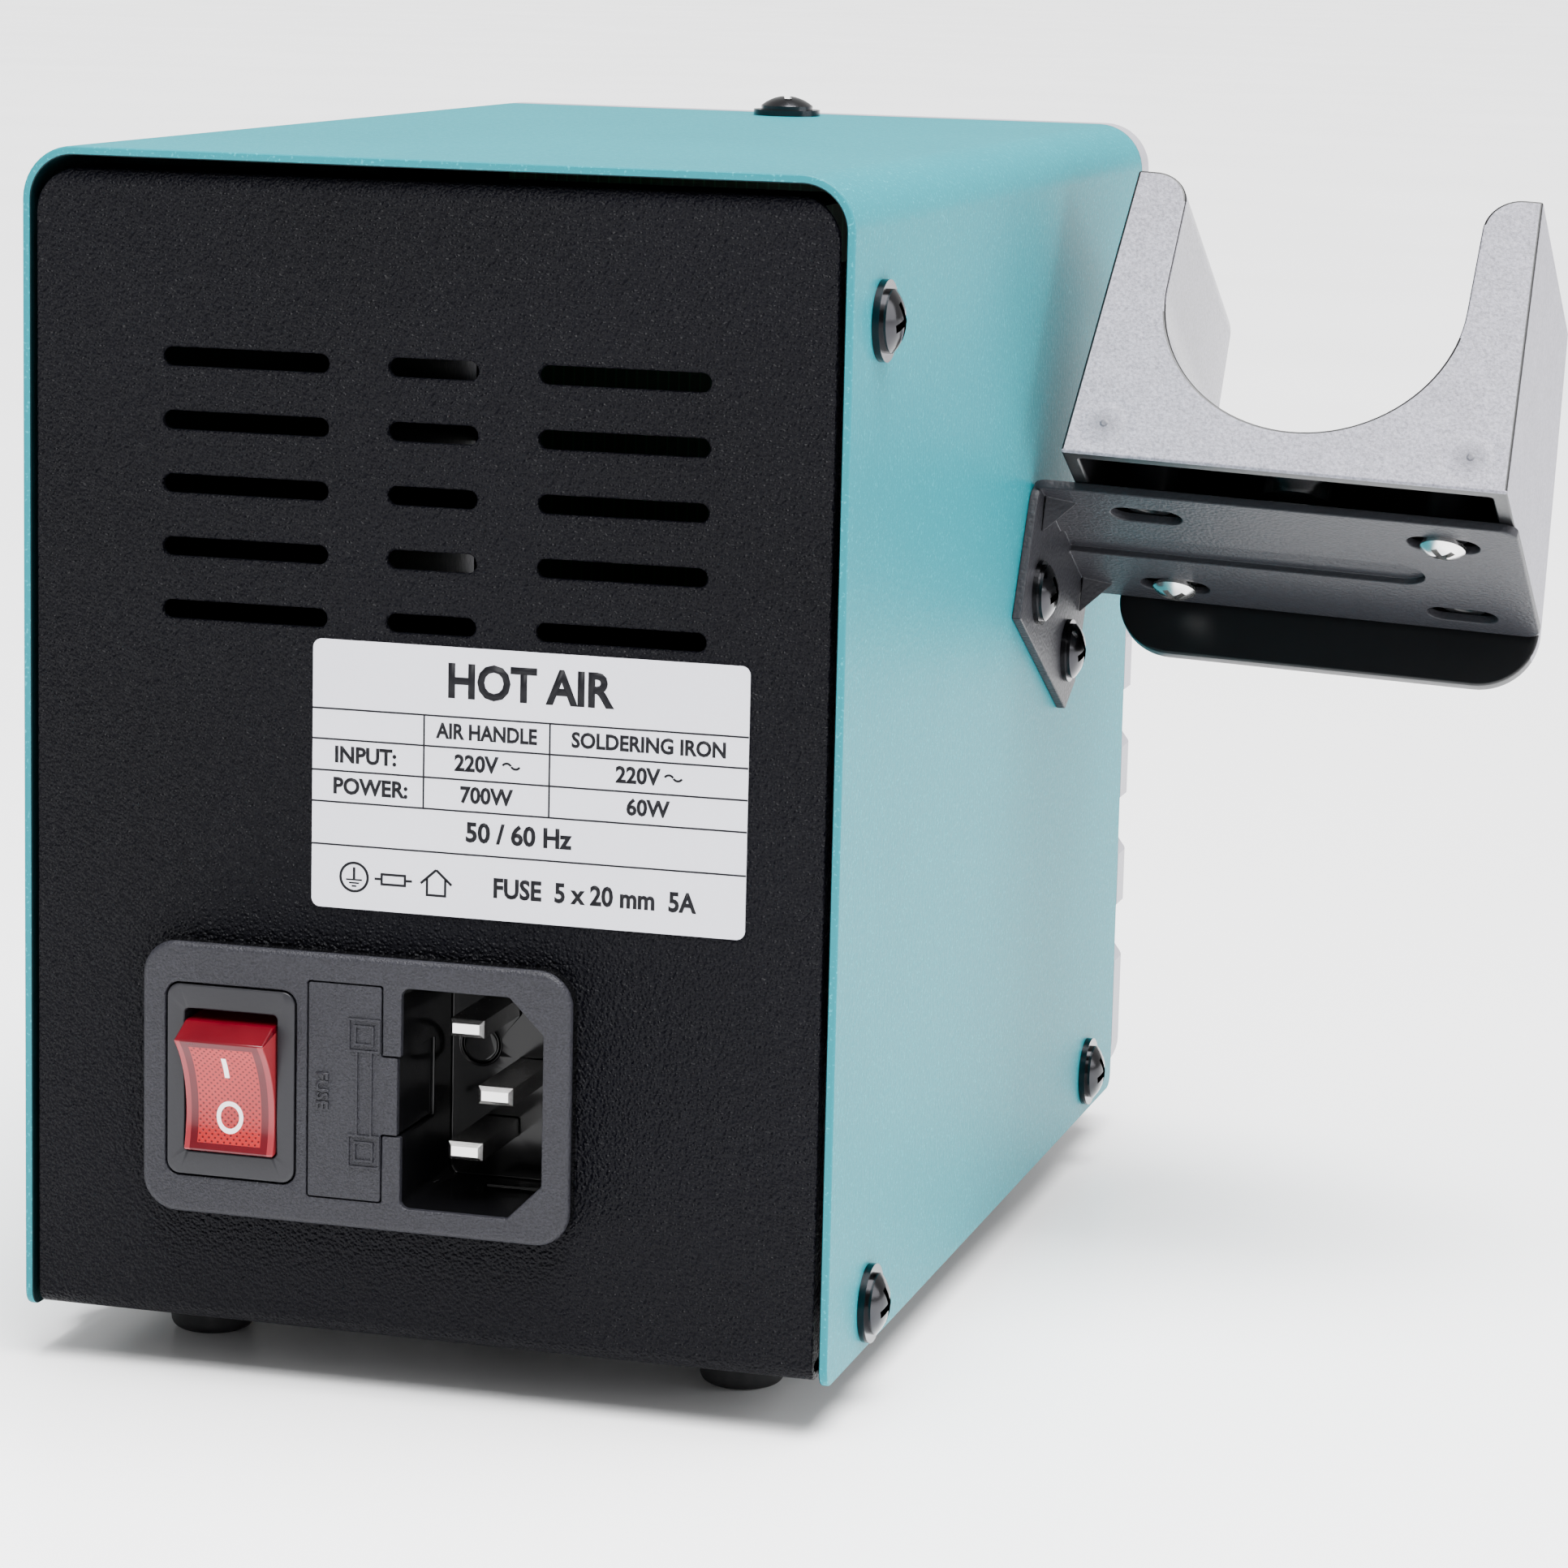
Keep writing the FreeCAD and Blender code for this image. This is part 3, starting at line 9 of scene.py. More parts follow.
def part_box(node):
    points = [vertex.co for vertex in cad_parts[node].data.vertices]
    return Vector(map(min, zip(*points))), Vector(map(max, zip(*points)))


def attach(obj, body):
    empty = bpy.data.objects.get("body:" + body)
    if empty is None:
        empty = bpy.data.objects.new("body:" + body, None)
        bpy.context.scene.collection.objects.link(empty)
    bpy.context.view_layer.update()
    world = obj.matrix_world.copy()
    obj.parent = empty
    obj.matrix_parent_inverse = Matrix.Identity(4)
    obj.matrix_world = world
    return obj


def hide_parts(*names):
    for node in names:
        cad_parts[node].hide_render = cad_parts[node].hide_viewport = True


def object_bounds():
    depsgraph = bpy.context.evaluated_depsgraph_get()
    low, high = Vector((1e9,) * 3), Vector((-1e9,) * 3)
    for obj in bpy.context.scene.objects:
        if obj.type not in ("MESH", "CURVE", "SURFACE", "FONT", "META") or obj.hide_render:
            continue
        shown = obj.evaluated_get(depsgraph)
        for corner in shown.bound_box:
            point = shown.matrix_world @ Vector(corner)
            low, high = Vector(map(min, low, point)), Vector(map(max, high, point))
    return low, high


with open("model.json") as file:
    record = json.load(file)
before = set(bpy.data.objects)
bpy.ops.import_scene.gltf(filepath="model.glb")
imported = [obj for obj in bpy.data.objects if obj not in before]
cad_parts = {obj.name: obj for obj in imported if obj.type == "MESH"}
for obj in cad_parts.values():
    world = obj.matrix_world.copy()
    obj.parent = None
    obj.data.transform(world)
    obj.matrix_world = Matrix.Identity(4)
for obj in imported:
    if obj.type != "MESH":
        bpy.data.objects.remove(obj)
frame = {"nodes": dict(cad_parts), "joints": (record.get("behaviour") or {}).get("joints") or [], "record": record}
cad_low, cad_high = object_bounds()
MM = 0.001
MIDDLE = (cad_low + cad_high) / 2
SIZE = cad_high - cad_low
record = frame["record"]
nodes = frame["nodes"]
BODY_OF = {node: body for body, members in record["behaviour"]["bodies"].items() for node in members}
SLOT_OF = {part["node"]: part["material_slot"] for part in record["subparts"]}
PIVOT = {j["child"]: Vector(j["pos_m"]) for j in frame["joints"] if "pos_m" in j}

# What someone in front of each face calls right, up and out, as columns.
REAR_VIEW = Matrix(((-1, 0, 0), (0, 0, 1), (0, 1, 0))).transposed()
FRONT_VIEW = Matrix(((1, 0, 0), (0, 0, 1), (0, -1, 0))).transposed()


# ---- node arithmetic ---------------------------------------------------------------------
class Field:
    """An output of a material's node that takes part in Python arithmetic."""

    def __init__(self, recipe, socket):
        self.recipe = recipe
        self.socket = socket

    def maths(self, operation, *values, **settings):
        settings["operation"] = operation
        return self.recipe.node("ShaderNodeMath", settings, dict(enumerate(values)))

    def __add__(self, other):
        return self.maths("ADD", self, other)

    def __sub__(self, other):
        return self.maths("SUBTRACT", self, other)

    def __rsub__(self, other):
        return self.maths("SUBTRACT", other, self)

    def __mul__(self, other):
        return self.maths("MULTIPLY", self, other)

    def __truediv__(self, other):
        return self.maths("DIVIDE", self, other)

    def __pow__(self, other):
        return self.maths("POWER", self, other)

    def __lt__(self, other):
        return self.maths("LESS_THAN", self, other)

    def __gt__(self, other):
        return self.maths("GREATER_THAN", self, other)

    def __abs__(self):
        return self.maths("ABSOLUTE", self)

    __radd__ = __add__
    __rmul__ = __mul__

    def sin(self):
        return self.maths("SINE", self)

    def limited(self):
        return self.maths("ADD", self, 0.0, use_clamp=True)

    def above_zero(self):
        return self.maths("MAXIMUM", self, 0.0)

    def fade(self, low, high):
        """0 below low, 1 above high, straight between them."""
        return ((self - low) / (high - low)).limited()

    def parts(self):
        split = self.recipe.node("ShaderNodeSeparateXYZ", {}, {"Vector": self})
        return [Field(self.recipe, output) for output in split.socket.node.outputs]


class Recipe:
    """One material. node() adds any node: settings first, then the values or links of its sockets."""

    def __init__(self, name):
        self.material = bpy.data.materials.new(name)
        self.material.use_nodes = True
        self.tree = self.material.node_tree
        self.tree.nodes.clear()

    def node(self, kind, settings, inputs, output=0):
        made = self.tree.nodes.new(kind)
        for key, value in settings.items():
            setattr(made, key, value)
        for key, value in inputs.items():
            if isinstance(value, Field):
                self.tree.links.new(value.socket, made.inputs[key])
            else:
                made.inputs[key].default_value = value
        return None if output is None else Field(self, made.outputs[output])

    def place(self):
        return self.node("ShaderNodeTexCoord", {}, {}, "Object")

    def local_place(self, origin, turn):
        """Object place seen from a frame with this origin and rotation."""
        inputs = {"Vector": self.place(), "Location": origin, "Rotation": turn.to_euler()}
        return self.node("ShaderNodeMapping", {"vector_type": "TEXTURE"}, inputs)

    def noise(self, where, size, detail=2.0, rough=0.5):
        inputs = {"Vector": where, "Scale": 1 / size, "Detail": detail, "Roughness": rough}
        return self.node("ShaderNodeTexNoise", {}, inputs)

    def pebbles(self, where, size, smooth=0.6):
        inputs = {"Vector": where, "Scale": 1 / size, "Smoothness": smooth}
        return self.node("ShaderNodeTexVoronoi", {"feature": "SMOOTH_F1"}, inputs)

    def blend(self, low, high, share):
        low, high = [c if isinstance(c, Field) else (*c, 1.0) for c in (low, high)]
        return self.node("ShaderNodeMix", {"data_type": "RGBA"}, {0: share, 6: low, 7: high}, 2)

    def bump(self, height, depth, strength=1.0):
        inputs = {"Height": height, "Distance": depth, "Strength": strength}
        return self.node("ShaderNodeBump", {}, inputs)

    def surface(self, inputs):
        """Close the recipe with a Principled shader; gives the material."""
        shader = self.node("ShaderNodeBsdfPrincipled", {}, inputs)
        self.node("ShaderNodeOutputMaterial", {}, {"Surface": shader}, None)
        return self.material


# ---- finishes ----------------------------------------------------------------------------
def cover_inner_shade(where):
    """1 on the inner walls of the cover, which are painted nearly black as shade inside the casing; 0 on its outer
    skin.
    """
    low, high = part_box("cover")
    bend = 6.0 * MM
    painted_skin = 0.85 * MM
    x, _, z = where.parts()
    across = (abs(x - (low.x + high.x) / 2) - ((high.x - low.x) / 2 - bend)).above_zero()
    above = (z - (high.z - bend)).above_zero()
    return (across * across + above * above) ** 0.5 < bend - painted_skin


def teal_coat():
    r = Recipe("teal_coat")
    where = r.place()
    peel = r.noise(where, 0.75 * MM, 2.5, 0.55)
    cloud = r.noise(where, 30 * MM, 2.0)
    speck = r.noise(where, 0.35 * MM, 1.0).fade(0.62, 0.72)
    base = r.blend((0.0, 0.142, 0.172), (0.0, 0.166, 0.198), cloud)
    base = r.blend(base, (0.02, 0.33, 0.38), speck * 0.6)
    # Painted shade: the inner walls of the cover are made nearly black.
    base = r.blend(base, (0.0, 0.008, 0.010), cover_inner_shade(where))
    rough = peel * 0.16 + 0.38
    return r.surface({
        "Base Color": base, "Roughness": rough, "Specular IOR Level": 0.15,
        "Normal": r.bump(peel, 0.06 * MM, 0.9),
    })


def leather_coat(name, low, high, grain, depth, rough, spec):
    """Textured powder coat: rounded pebbles with a finer ripple on them."""
    r = Recipe(name)
    where = r.place()
    bend = r.noise(where, grain * 2.2 * MM, 1.0)
    pebble = r.pebbles(where, grain * MM)
    ripple = r.noise(where, grain * 0.45 * MM, 2.0)
    height = (1 - pebble) + ripple * 0.45 + bend * 0.5
    cloud = r.noise(where, 45 * MM, 2.0)
    base = r.blend(low, high, cloud * 0.6 + ripple * 0.4)
    return r.surface({
        "Base Color": base, "Roughness": ripple * 0.2 + (rough - 0.1), "Specular IOR Level": spec,
        "Normal": r.bump(height, depth * MM, 1.0),
    })


def moulded(name, low, high, rough, grain, depth, spec=0.45):
    """Moulded plastic with a spark-eroded grain and a faint flow mark."""
    r = Recipe(name)
    where = r.place()
    grit = r.noise(where, grain * MM, 2.0, 0.6)
    flow = r.noise(where, 18 * MM, 3.0)
    base = r.blend(low, high, flow * 0.7 + grit * 0.3)
    return r.surface({
        "Base Color": base, "Roughness": grit * 0.14 + (rough - 0.07), "Specular IOR Level": spec,
        "Normal": r.bump(grit, depth * MM, 0.8),
    })


def plated(name, low, high, rough):
    """Plated metal with fine tumbling marks."""
    r = Recipe(name)
    where = r.place()
    marks = r.noise(where, 0.25 * MM, 3.0, 0.7)
    stain = r.noise(where, 2.5 * MM, 2.0)
    base = r.blend(low, high, stain)
    return r.surface({
        "Base Color": base, "Metallic": 1.0, "Roughness": marks * 0.16 + (rough - 0.08),
        "Normal": r.bump(marks, 0.008 * MM, 0.6),
    })


def rubber():
    r = Recipe("foot_rubber")
    where = r.place()
    dust = r.noise(where, 1.4 * MM, 3.0, 0.65)
    base = r.blend((0.008, 0.008, 0.009), (0.020, 0.020, 0.022), dust.fade(0.4, 0.75))
    return r.surface({
        "Base Color": base, "Roughness": dust * 0.2 + 0.55, "Specular IOR Level": 0.35,
        "Normal": r.bump(dust, 0.02 * MM, 0.7),
    })


def label_film():
    r = Recipe("label_film")
    where = r.place()
    fibre = r.noise(where, 0.6 * MM, 2.0)
    cloud = r.noise(where, 14 * MM, 2.0)
    base = r.blend((0.52, 0.52, 0.575), (0.60, 0.60, 0.65), cloud * 0.7 + fibre * 0.3)
    return r.surface({
        "Base Color": base, "Roughness": fibre * 0.1 + 0.32, "Specular IOR Level": 0.5,
        "Normal": r.bump(fibre, 0.004 * MM, 0.5),
    })


def ink(name, colour, other, rough):
    r = Recipe(name)
    where = r.place()
    wear = r.noise(where, 0.5 * MM, 2.0)
    return r.surface({
        "Base Color": r.blend(colour, other, wear), "Roughness": wear * 0.1 + rough,
        "Specular IOR Level": 0.1,
    })


def rocker_lens(name, origin, turn):
    """Red lens with a dotted field inside a clear rim, and the white I and O marks."""
    r = Recipe(name)
    x, y, z = r.local_place(origin, turn).parts()
    field_half_width, field_half_height = 3.75 * MM, 5.9 * MM
    face_half_height, face_floor = 6.75 * MM, 0.9 * MM
    rim_from = 4.6 * MM
    dot_pitch = 0.74 * MM
    bar_middle, bar_half_length, bar_half_width = 3.1 * MM, 1.35 * MM, 0.28 * MM
    loop_middle, loop_radius, loop_half_width, loop_squash = -3.0 * MM, 1.35 * MM, 0.24 * MM, 0.88
    ax, ay = abs(x), abs(y)
    on_face = (ay < face_half_height) * (z > face_floor)
    field = (ax < field_half_width) * (ay < field_half_height) * on_face
    wave = 2 * math.pi / dot_pitch
    dots = (((x * wave).sin() * (y * wave).sin() + 1) * 0.5).fade(0.62, 0.9)
    bar = (ax < bar_half_width) * (abs(y - bar_middle) < bar_half_length)
    radial = (x * x + ((y - loop_middle) * loop_squash) ** 2.0) ** 0.5
    loop = abs(radial - loop_radius) < loop_half_width
    mark = (bar + loop).limited() * field
    glow = r.noise(r.place(), 5 * MM, 2.0)
    body = r.blend((0.050, 0.0, 0.003), (0.095, 0.002, 0.006), glow)
    rim = r.blend(body, (0.20, 0.018, 0.024), on_face * (ax > rim_from))
    salmon = r.blend((0.24, 0.004, 0.006), (0.36, 0.016, 0.018), glow)
    salmon = r.blend(salmon, (0.04, 0.0, 0.001), dots * 0.9)
    colour = r.blend(r.blend(rim, salmon, field), (0.86, 0.80, 0.80), mark)
    # The faint emission is a painted glow of the red plastic.
    return r.surface({
        "Base Color": colour, "Roughness": glow * 0.06 + 0.16, "Coat Weight": 0.12,
        "Specular IOR Level": 0.28, "Coat Roughness": 0.05, "Emission Color": colour,
        "Emission Strength": 0.06, "Normal": r.bump(dots * field * (1 - mark), 0.05 * MM, 0.5),
    })


def inlet_plastic(face):
    """Black moulded module: fine grain on its flange, polished black inside its openings."""
    r = Recipe("inlet_plastic")
    where = r.place()
    grained_depth = 0.75 * MM
    outer = where.parts()[1] > face - grained_depth
    grit = r.noise(where, 0.26 * MM, 2.0, 0.65)
    flow = r.noise(where, 18 * MM, 3.0)
    mottle = flow * 0.3 + grit.fade(0.35, 0.7) * 0.7
    skin = r.blend((0.004, 0.004, 0.006), (0.021, 0.021, 0.027), mottle)
    base = r.blend((0.0022, 0.0022, 0.0026), skin, outer)
    return r.surface({
        "Base Color": base, "Roughness": outer * (grit * 0.14 + 0.24) + 0.13,
        "Specular IOR Level": 0.22, "Normal": r.bump(grit * outer, 0.16 * MM, 1.0),
    })


def knob_plastic():
    """Black ribbed knob with a white pointer line printed on its face."""
    r = Recipe("knob_plastic")
    where = r.place()
    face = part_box("airflow_knob")[0].y
    half_width, start, end, ink_depth = 0.55 * MM, 2.4 * MM, 8.6 * MM, 0.1 * MM
    x, y, z = where.parts()
    outward = z - PIVOT["airflow_knob"].z
    line = abs(x - PIVOT["airflow_knob"].x) < half_width
    pointer = line * (outward > start) * (outward < end) * (y < face + ink_depth)
    grit = r.noise(where, 0.4 * MM, 2.0, 0.6)
    base = r.blend((0.008, 0.008, 0.010), (0.016, 0.016, 0.019), grit)
    return r.surface({
        "Base Color": r.blend(base, (0.66, 0.66, 0.67), pointer), "Roughness": grit * 0.14 + 0.33,
        "Specular IOR Level": 0.25, "Normal": r.bump(grit, 0.02 * MM, 0.8),
    })


def smoked_window():
    r = Recipe("smoked_window")
    smear = r.noise(r.place(), 9 * MM, 3.0)
    base = r.blend((0.006, 0.006, 0.008), (0.012, 0.012, 0.014), smear)
    return r.surface({
        "Base Color": base, "Roughness": smear * 0.06 + 0.10, "Specular IOR Level": 0.25,
    })


def lit_segments(name, colour, dim):
    r = Recipe(name)
    glow = r.noise(r.place(), 1.5 * MM, 1.0)
    lit = r.blend(colour, dim, glow * 0.5)
    return r.surface({
        "Base Color": lit, "Roughness": 0.4, "Emission Color": lit, "Emission Strength": 1.1,
    })


def board():
    r = Recipe("solder_resist")
    where = r.place()
    track_pitch = 3.0 * MM
    tracks = r.node("ShaderNodeTexBrick", {}, {
        "Vector": where, "Scale": 1 / track_pitch, "Color1": (0, 0, 0, 1), "Color2": (0, 0, 0, 1),
        "Mortar": (1, 1, 1, 1), "Mortar Size": 0.03,
    })
    base = r.blend((0.006, 0.085, 0.035), (0.02, 0.17, 0.07), tracks)
    return r.surface({"Base Color": base, "Roughness": r.noise(where, 2 * MM) * 0.1 + 0.28})


def laminated_steel():
    r = Recipe("laminated_steel")
    where = r.place()
    lamination = 0.5 * MM
    sheets = (where.parts()[1] * (2 * math.pi / lamination)).sin() * 0.5 + 0.5
    varnish = r.noise(where, 4 * MM, 3.0)
    base = r.blend((0.10, 0.09, 0.085), (0.24, 0.22, 0.20), varnish)
    return r.surface({
        "Base Color": base, "Metallic": 0.8, "Roughness": varnish * 0.25 + 0.3,
        "Normal": r.bump(sheets, 0.06 * MM, 0.7),
    })


def winding_tape():
    r = Recipe("winding_tape")
    where = r.place()
    tape_width = 4.5 * MM
    turns = (where.parts()[2] * (2 * math.pi / tape_width)).sin() * 0.5 + 0.5
    base = r.blend((0.62, 0.42, 0.05), (0.48, 0.30, 0.03), turns.fade(0.85, 1.0))
    return r.surface({
        "Base Color": base, "Roughness": r.noise(where, 3 * MM) * 0.15 + 0.25,
        "Normal": r.bump(turns, 0.05 * MM, 0.5),
    })


def fuse_glass():
    r = Recipe("fuse_glass")
    tint = r.noise(r.place(), 3 * MM)
    base = r.blend((0.82, 0.88, 0.88), (0.9, 0.94, 0.94), tint)
    return r.surface({"Base Color": base, "Roughness": tint * 0.05 + 0.02, "Alpha": 0.35})


def cradle_plastic(origin, turn, low, high):
    """Light grey textured outside as painted sheen on black plastic, black in the hollow, and two sink marks low
    on the rear wall, darkened as painted shade.

    low and high are the cradle's ends along the holder's own first axis.
    """
    r = Recipe("cradle_plastic")
    where = r.place()
    hidden, smooth = [
        r.node("ShaderNodeAttribute", {"attribute_name": name}, {}, "Fac").fade(0.4, 0.6)
        for name in ("inside", "trough")
    ]
    grit = r.noise(where, 0.42 * MM, 2.0, 0.65)
    mottle = r.noise(where, 3.5 * MM, 3.0, 0.6)
    speckle = mottle * 0.3 + grit.fade(0.28, 0.75) * 0.7
    # The light grey outside is painted sheen: the plastic is black, and this grey stands in for the light it
    # catches.
    outer = r.blend((0.090, 0.088, 0.106), (0.330, 0.320, 0.370), speckle)
    s, a, n = r.local_place(origin, turn).parts()
    mark_height, rear_wall, ring_radius = 5.6 * MM, -4.0 * MM, 3.1 * MM
    marks = 0.0
    for mark_s in (low + 4.6 * MM, high - 5.1 * MM):
        across, up = s - mark_s, n - mark_height
        distance = (across * across + up * up) ** 0.5
        sink = (1 - distance.fade(0.4 * MM, 2.8 * MM)) * 0.85
        pip = 1 - distance.fade(0.3 * MM, 0.55 * MM)
        ring = 1 - abs(distance - ring_radius).fade(0.2 * MM, 0.9 * MM)
        marks = marks + (sink + pip * 1.1 - ring * 0.5) * (a < rear_wall)
    # Painted shade: the sink marks are darkened where they dent the rear wall, less so on their ring.
    outer = r.blend(outer, (0.07, 0.07, 0.085), (marks * 0.8).limited())
    base = r.blend(outer, (0.003, 0.003, 0.0036), hidden)
    rough = (grit * 0.16 + 0.38) * (1 - smooth) + smooth * 0.20 - hidden * 0.10
    return r.surface({
        "Base Color": base, "Roughness": rough, "Specular IOR Level": 0.32,
        "Normal": r.bump(grit * (1 - smooth) * (1 - hidden) + marks * 1.2, 0.07 * MM, 0.9),
    })


# ---- pieces ------------------------------------------------------------------------------
def dress(node, material):
    """Give a carried-over CAD node its finish."""
    slots = nodes[node].data.materials
    slots.clear()
    slots.append(material)


def add_piece(name, mesh, material, body):
    mesh.materials.clear()
    mesh.materials.append(material)
    piece = bpy.data.objects.new(name, mesh)
    bpy.context.scene.collection.objects.link(piece)
    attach(piece, body)
    return piece


def plain_mesh(name, source):
    """The evaluated shape of an object as a mesh of its own; the object is removed."""
    bpy.context.view_layer.update()
    graph = bpy.context.evaluated_depsgraph_get()
    mesh = bpy.data.meshes.new_from_object(source.evaluated_get(graph), depsgraph=graph)
    mesh.name = name
    data = source.data
    bpy.data.objects.remove(source)
    if isinstance(data, bpy.types.Curve):
        bpy.data.curves.remove(data)
    return mesh


def softened(node, width, material, angle, segments=2, note=None):
    """A copy of a CAD node with edges sharper than angle eased, standing for that node.

    width is in mm, and note may mark attributes on the finished mesh.
    """
    same_point, same_plane = 0.001 * MM, math.radians(0.8)
    mesh = bpy.data.meshes.new(node + "_eased")
    work = bmesh.new()
    work.from_mesh(nodes[node].data)
    bmesh.ops.remove_doubles(work, verts=work.verts, dist=same_point)
    bmesh.ops.dissolve_limit(work, angle_limit=same_plane, verts=work.verts, edges=work.edges)
    bmesh.ops.triangulate(work, faces=work.faces)
    work.to_mesh(mesh)
    work.free()
    source = bpy.data.objects.new(node + "_work", mesh)
    bpy.context.scene.collection.objects.link(source)
    mesh.polygons.foreach_set("use_smooth", [True] * len(mesh.polygons))
    bevel = source.modifiers.new("ease", "BEVEL")
    bevel.width = width * MM
    bevel.segments = segments
    bevel.limit_method = "ANGLE"
    bevel.angle_limit = math.radians(angle)
    bevel.use_clamp_overlap = False
    bevel.loop_slide = False
    bevel.miter_outer = "MITER_ARC"
    normals = source.modifiers.new("flat_faces", "WEIGHTED_NORMAL")
    normals.mode = "FACE_AREA"
    normals.weight = 60
    normals.keep_sharp = False
    eased = plain_mesh(node + "_eased", source)
    if note:
        note(eased)
    piece = add_piece(node + "_eased", eased, material, BODY_OF[node])
    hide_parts(node)
    return piece


# ---- lettering and drawn lines -----------------------------------------------------------
def lettering(words, size, x, y, squeeze=1.0, weight=0.024):
    """Words as flat faces centred on a point of the drawing plane; weight makes the strokes bolder."""
    curve = bpy.data.curves.new("lettering", "FONT")
    curve.body = words
    curve.size = size
    curve.align_x = curve.align_y = "CENTER"
    curve.resolution_u = 3
    curve.offset = weight * size
    holder = bpy.data.objects.new("lettering", curve)
    bpy.context.scene.collection.objects.link(holder)
    mesh = plain_mesh("lettering", holder)
    mesh.transform(Matrix.Translation((x, y, 0)) @ Matrix.Diagonal((squeeze, 1, 1, 1)))
    return mesh


def thicken(work, height):
    """Give flat faces a thickness along +Z."""
    faces = list(work.faces)
    for face in faces:
        if face.normal.z < 0:
            face.normal_flip()
    grown = bmesh.ops.extrude_face_region(work, geom=faces)
    top = [v for v in grown["geom"] if isinstance(v, bmesh.types.BMVert)]
    bmesh.ops.translate(work, verts=top, vec=(0, 0, height))
    bmesh.ops.recalc_face_normals(work, faces=work.faces)


def drawing(name, letters, outlines, height, place, view):
    """Letters and closed outlines, in mm on a plane, as one thin raised print at a place."""
    work = bmesh.new()
    for mesh in letters:
        work.from_mesh(mesh)
        bpy.data.meshes.remove(mesh)
    bmesh.ops.remove_doubles(work, verts=work.verts, dist=1e-4)
    for points in outlines:
        work.faces.new([work.verts.new((x, y, 0)) for x, y in points])
    work.normal_update()
    thicken(work, height)
    mesh = bpy.data.meshes.new(name)
    work.to_mesh(mesh)
    work.free()
    mesh.transform(Matrix.Translation(place) @ view.to_4x4() @ Matrix.Scale(MM, 4))
    return mesh


def bar_outline(x0, y0, x1, y1):
    return [(x0, y0), (x1, y0), (x1, y1), (x0, y1)]


def stroke(x0, y0, x1, y1, width):
    """A straight line as a thin four-cornered outline."""
    run = Vector((x1 - x0, y1 - y0)).normalized() * width / 2
    side = Vector((-run.y, run.x))
    a, b = Vector((x0, y0)), Vector((x1, y1))
    return [tuple(a + side), tuple(a - side), tuple(b - side), tuple(b + side)]


def frame_outline(x0, y0, x1, y1, w):
    """Four strokes of width w just inside a rectangle."""
    return [
        bar_outline(x0, y0, x1, y0 + w), bar_outline(x0, y1 - w, x1, y1),
        bar_outline(x0, y0 + w, x0 + w, y1 - w), bar_outline(x1 - w, y0 + w, x1, y1 - w),
    ]


def arc_strokes(x, y, radius, start, end, width, steps):
    """Short quads along an arc, angles in degrees."""
    quads = []
    inner, outer = radius - width / 2, radius + width / 2
    for i in range(steps):
        a, b = [math.radians(start + (end - start) * (i + k) / steps) for k in (0, 1)]
        corners = ((outer, a), (outer, b), (inner, b), (inner, a))
        quads.append([(x + q * math.cos(t), y + q * math.sin(t)) for q, t in corners])
    return quads


# ---- rear label --------------------------------------------------------------------------
def earth_sign(x, y):
    """An upright and three shrinking bars in a ring."""
    outlines = arc_strokes(x, y, 1.6, 0, 360, 0.3, 28)
    outlines.append(bar_outline(x - 0.15, y - 0.2, x + 0.15, y + 1.1))
    for half_width, drop in ((0.95, 0.18), (0.6, 0.55), (0.28, 0.9)):
        outlines.append(bar_outline(x - half_width, y - 0.2 - drop, x + half_width, y - 0.02 - drop))
    return outlines


def fuse_sign(x, y):
    """A box with a wire at each end."""
    body, lead, line = 1.5, 2.2, 0.28
    return frame_outline(x - body, y - 0.7, x + body, y + 0.7, line) + [
        bar_outline(x - lead, y - line / 2, x - body, y + line / 2),
        bar_outline(x + body, y - line / 2, x + lead, y + line / 2),
    ]


def indoor_sign(x, y):
    """A house: roof, floor and two walls."""
    wall, floor, line = 1.2, 1.5, 0.28
    return [
        stroke(x - 1.8, y - 0.1, x, y + 1.5, 0.3),
        stroke(x, y + 1.5, x + 1.8, y - 0.1, 0.3),
        bar_outline(x - wall, y - floor, x + wall, y - floor + line),
        bar_outline(x - wall, y - floor + line, x - wall + line, y + 0.45),
        bar_outline(x + wall - line, y - floor + line, x + wall, y + 0.45),
    ]


def alternating_sign(x, y):
    """Two half turns side by side."""
    return (arc_strokes(x - 0.55, y - 0.15, 0.55, 150, 30, 0.26, 6)
            + arc_strokes(x + 0.45, y + 0.35, 0.55, 210, 330, 0.26, 6))


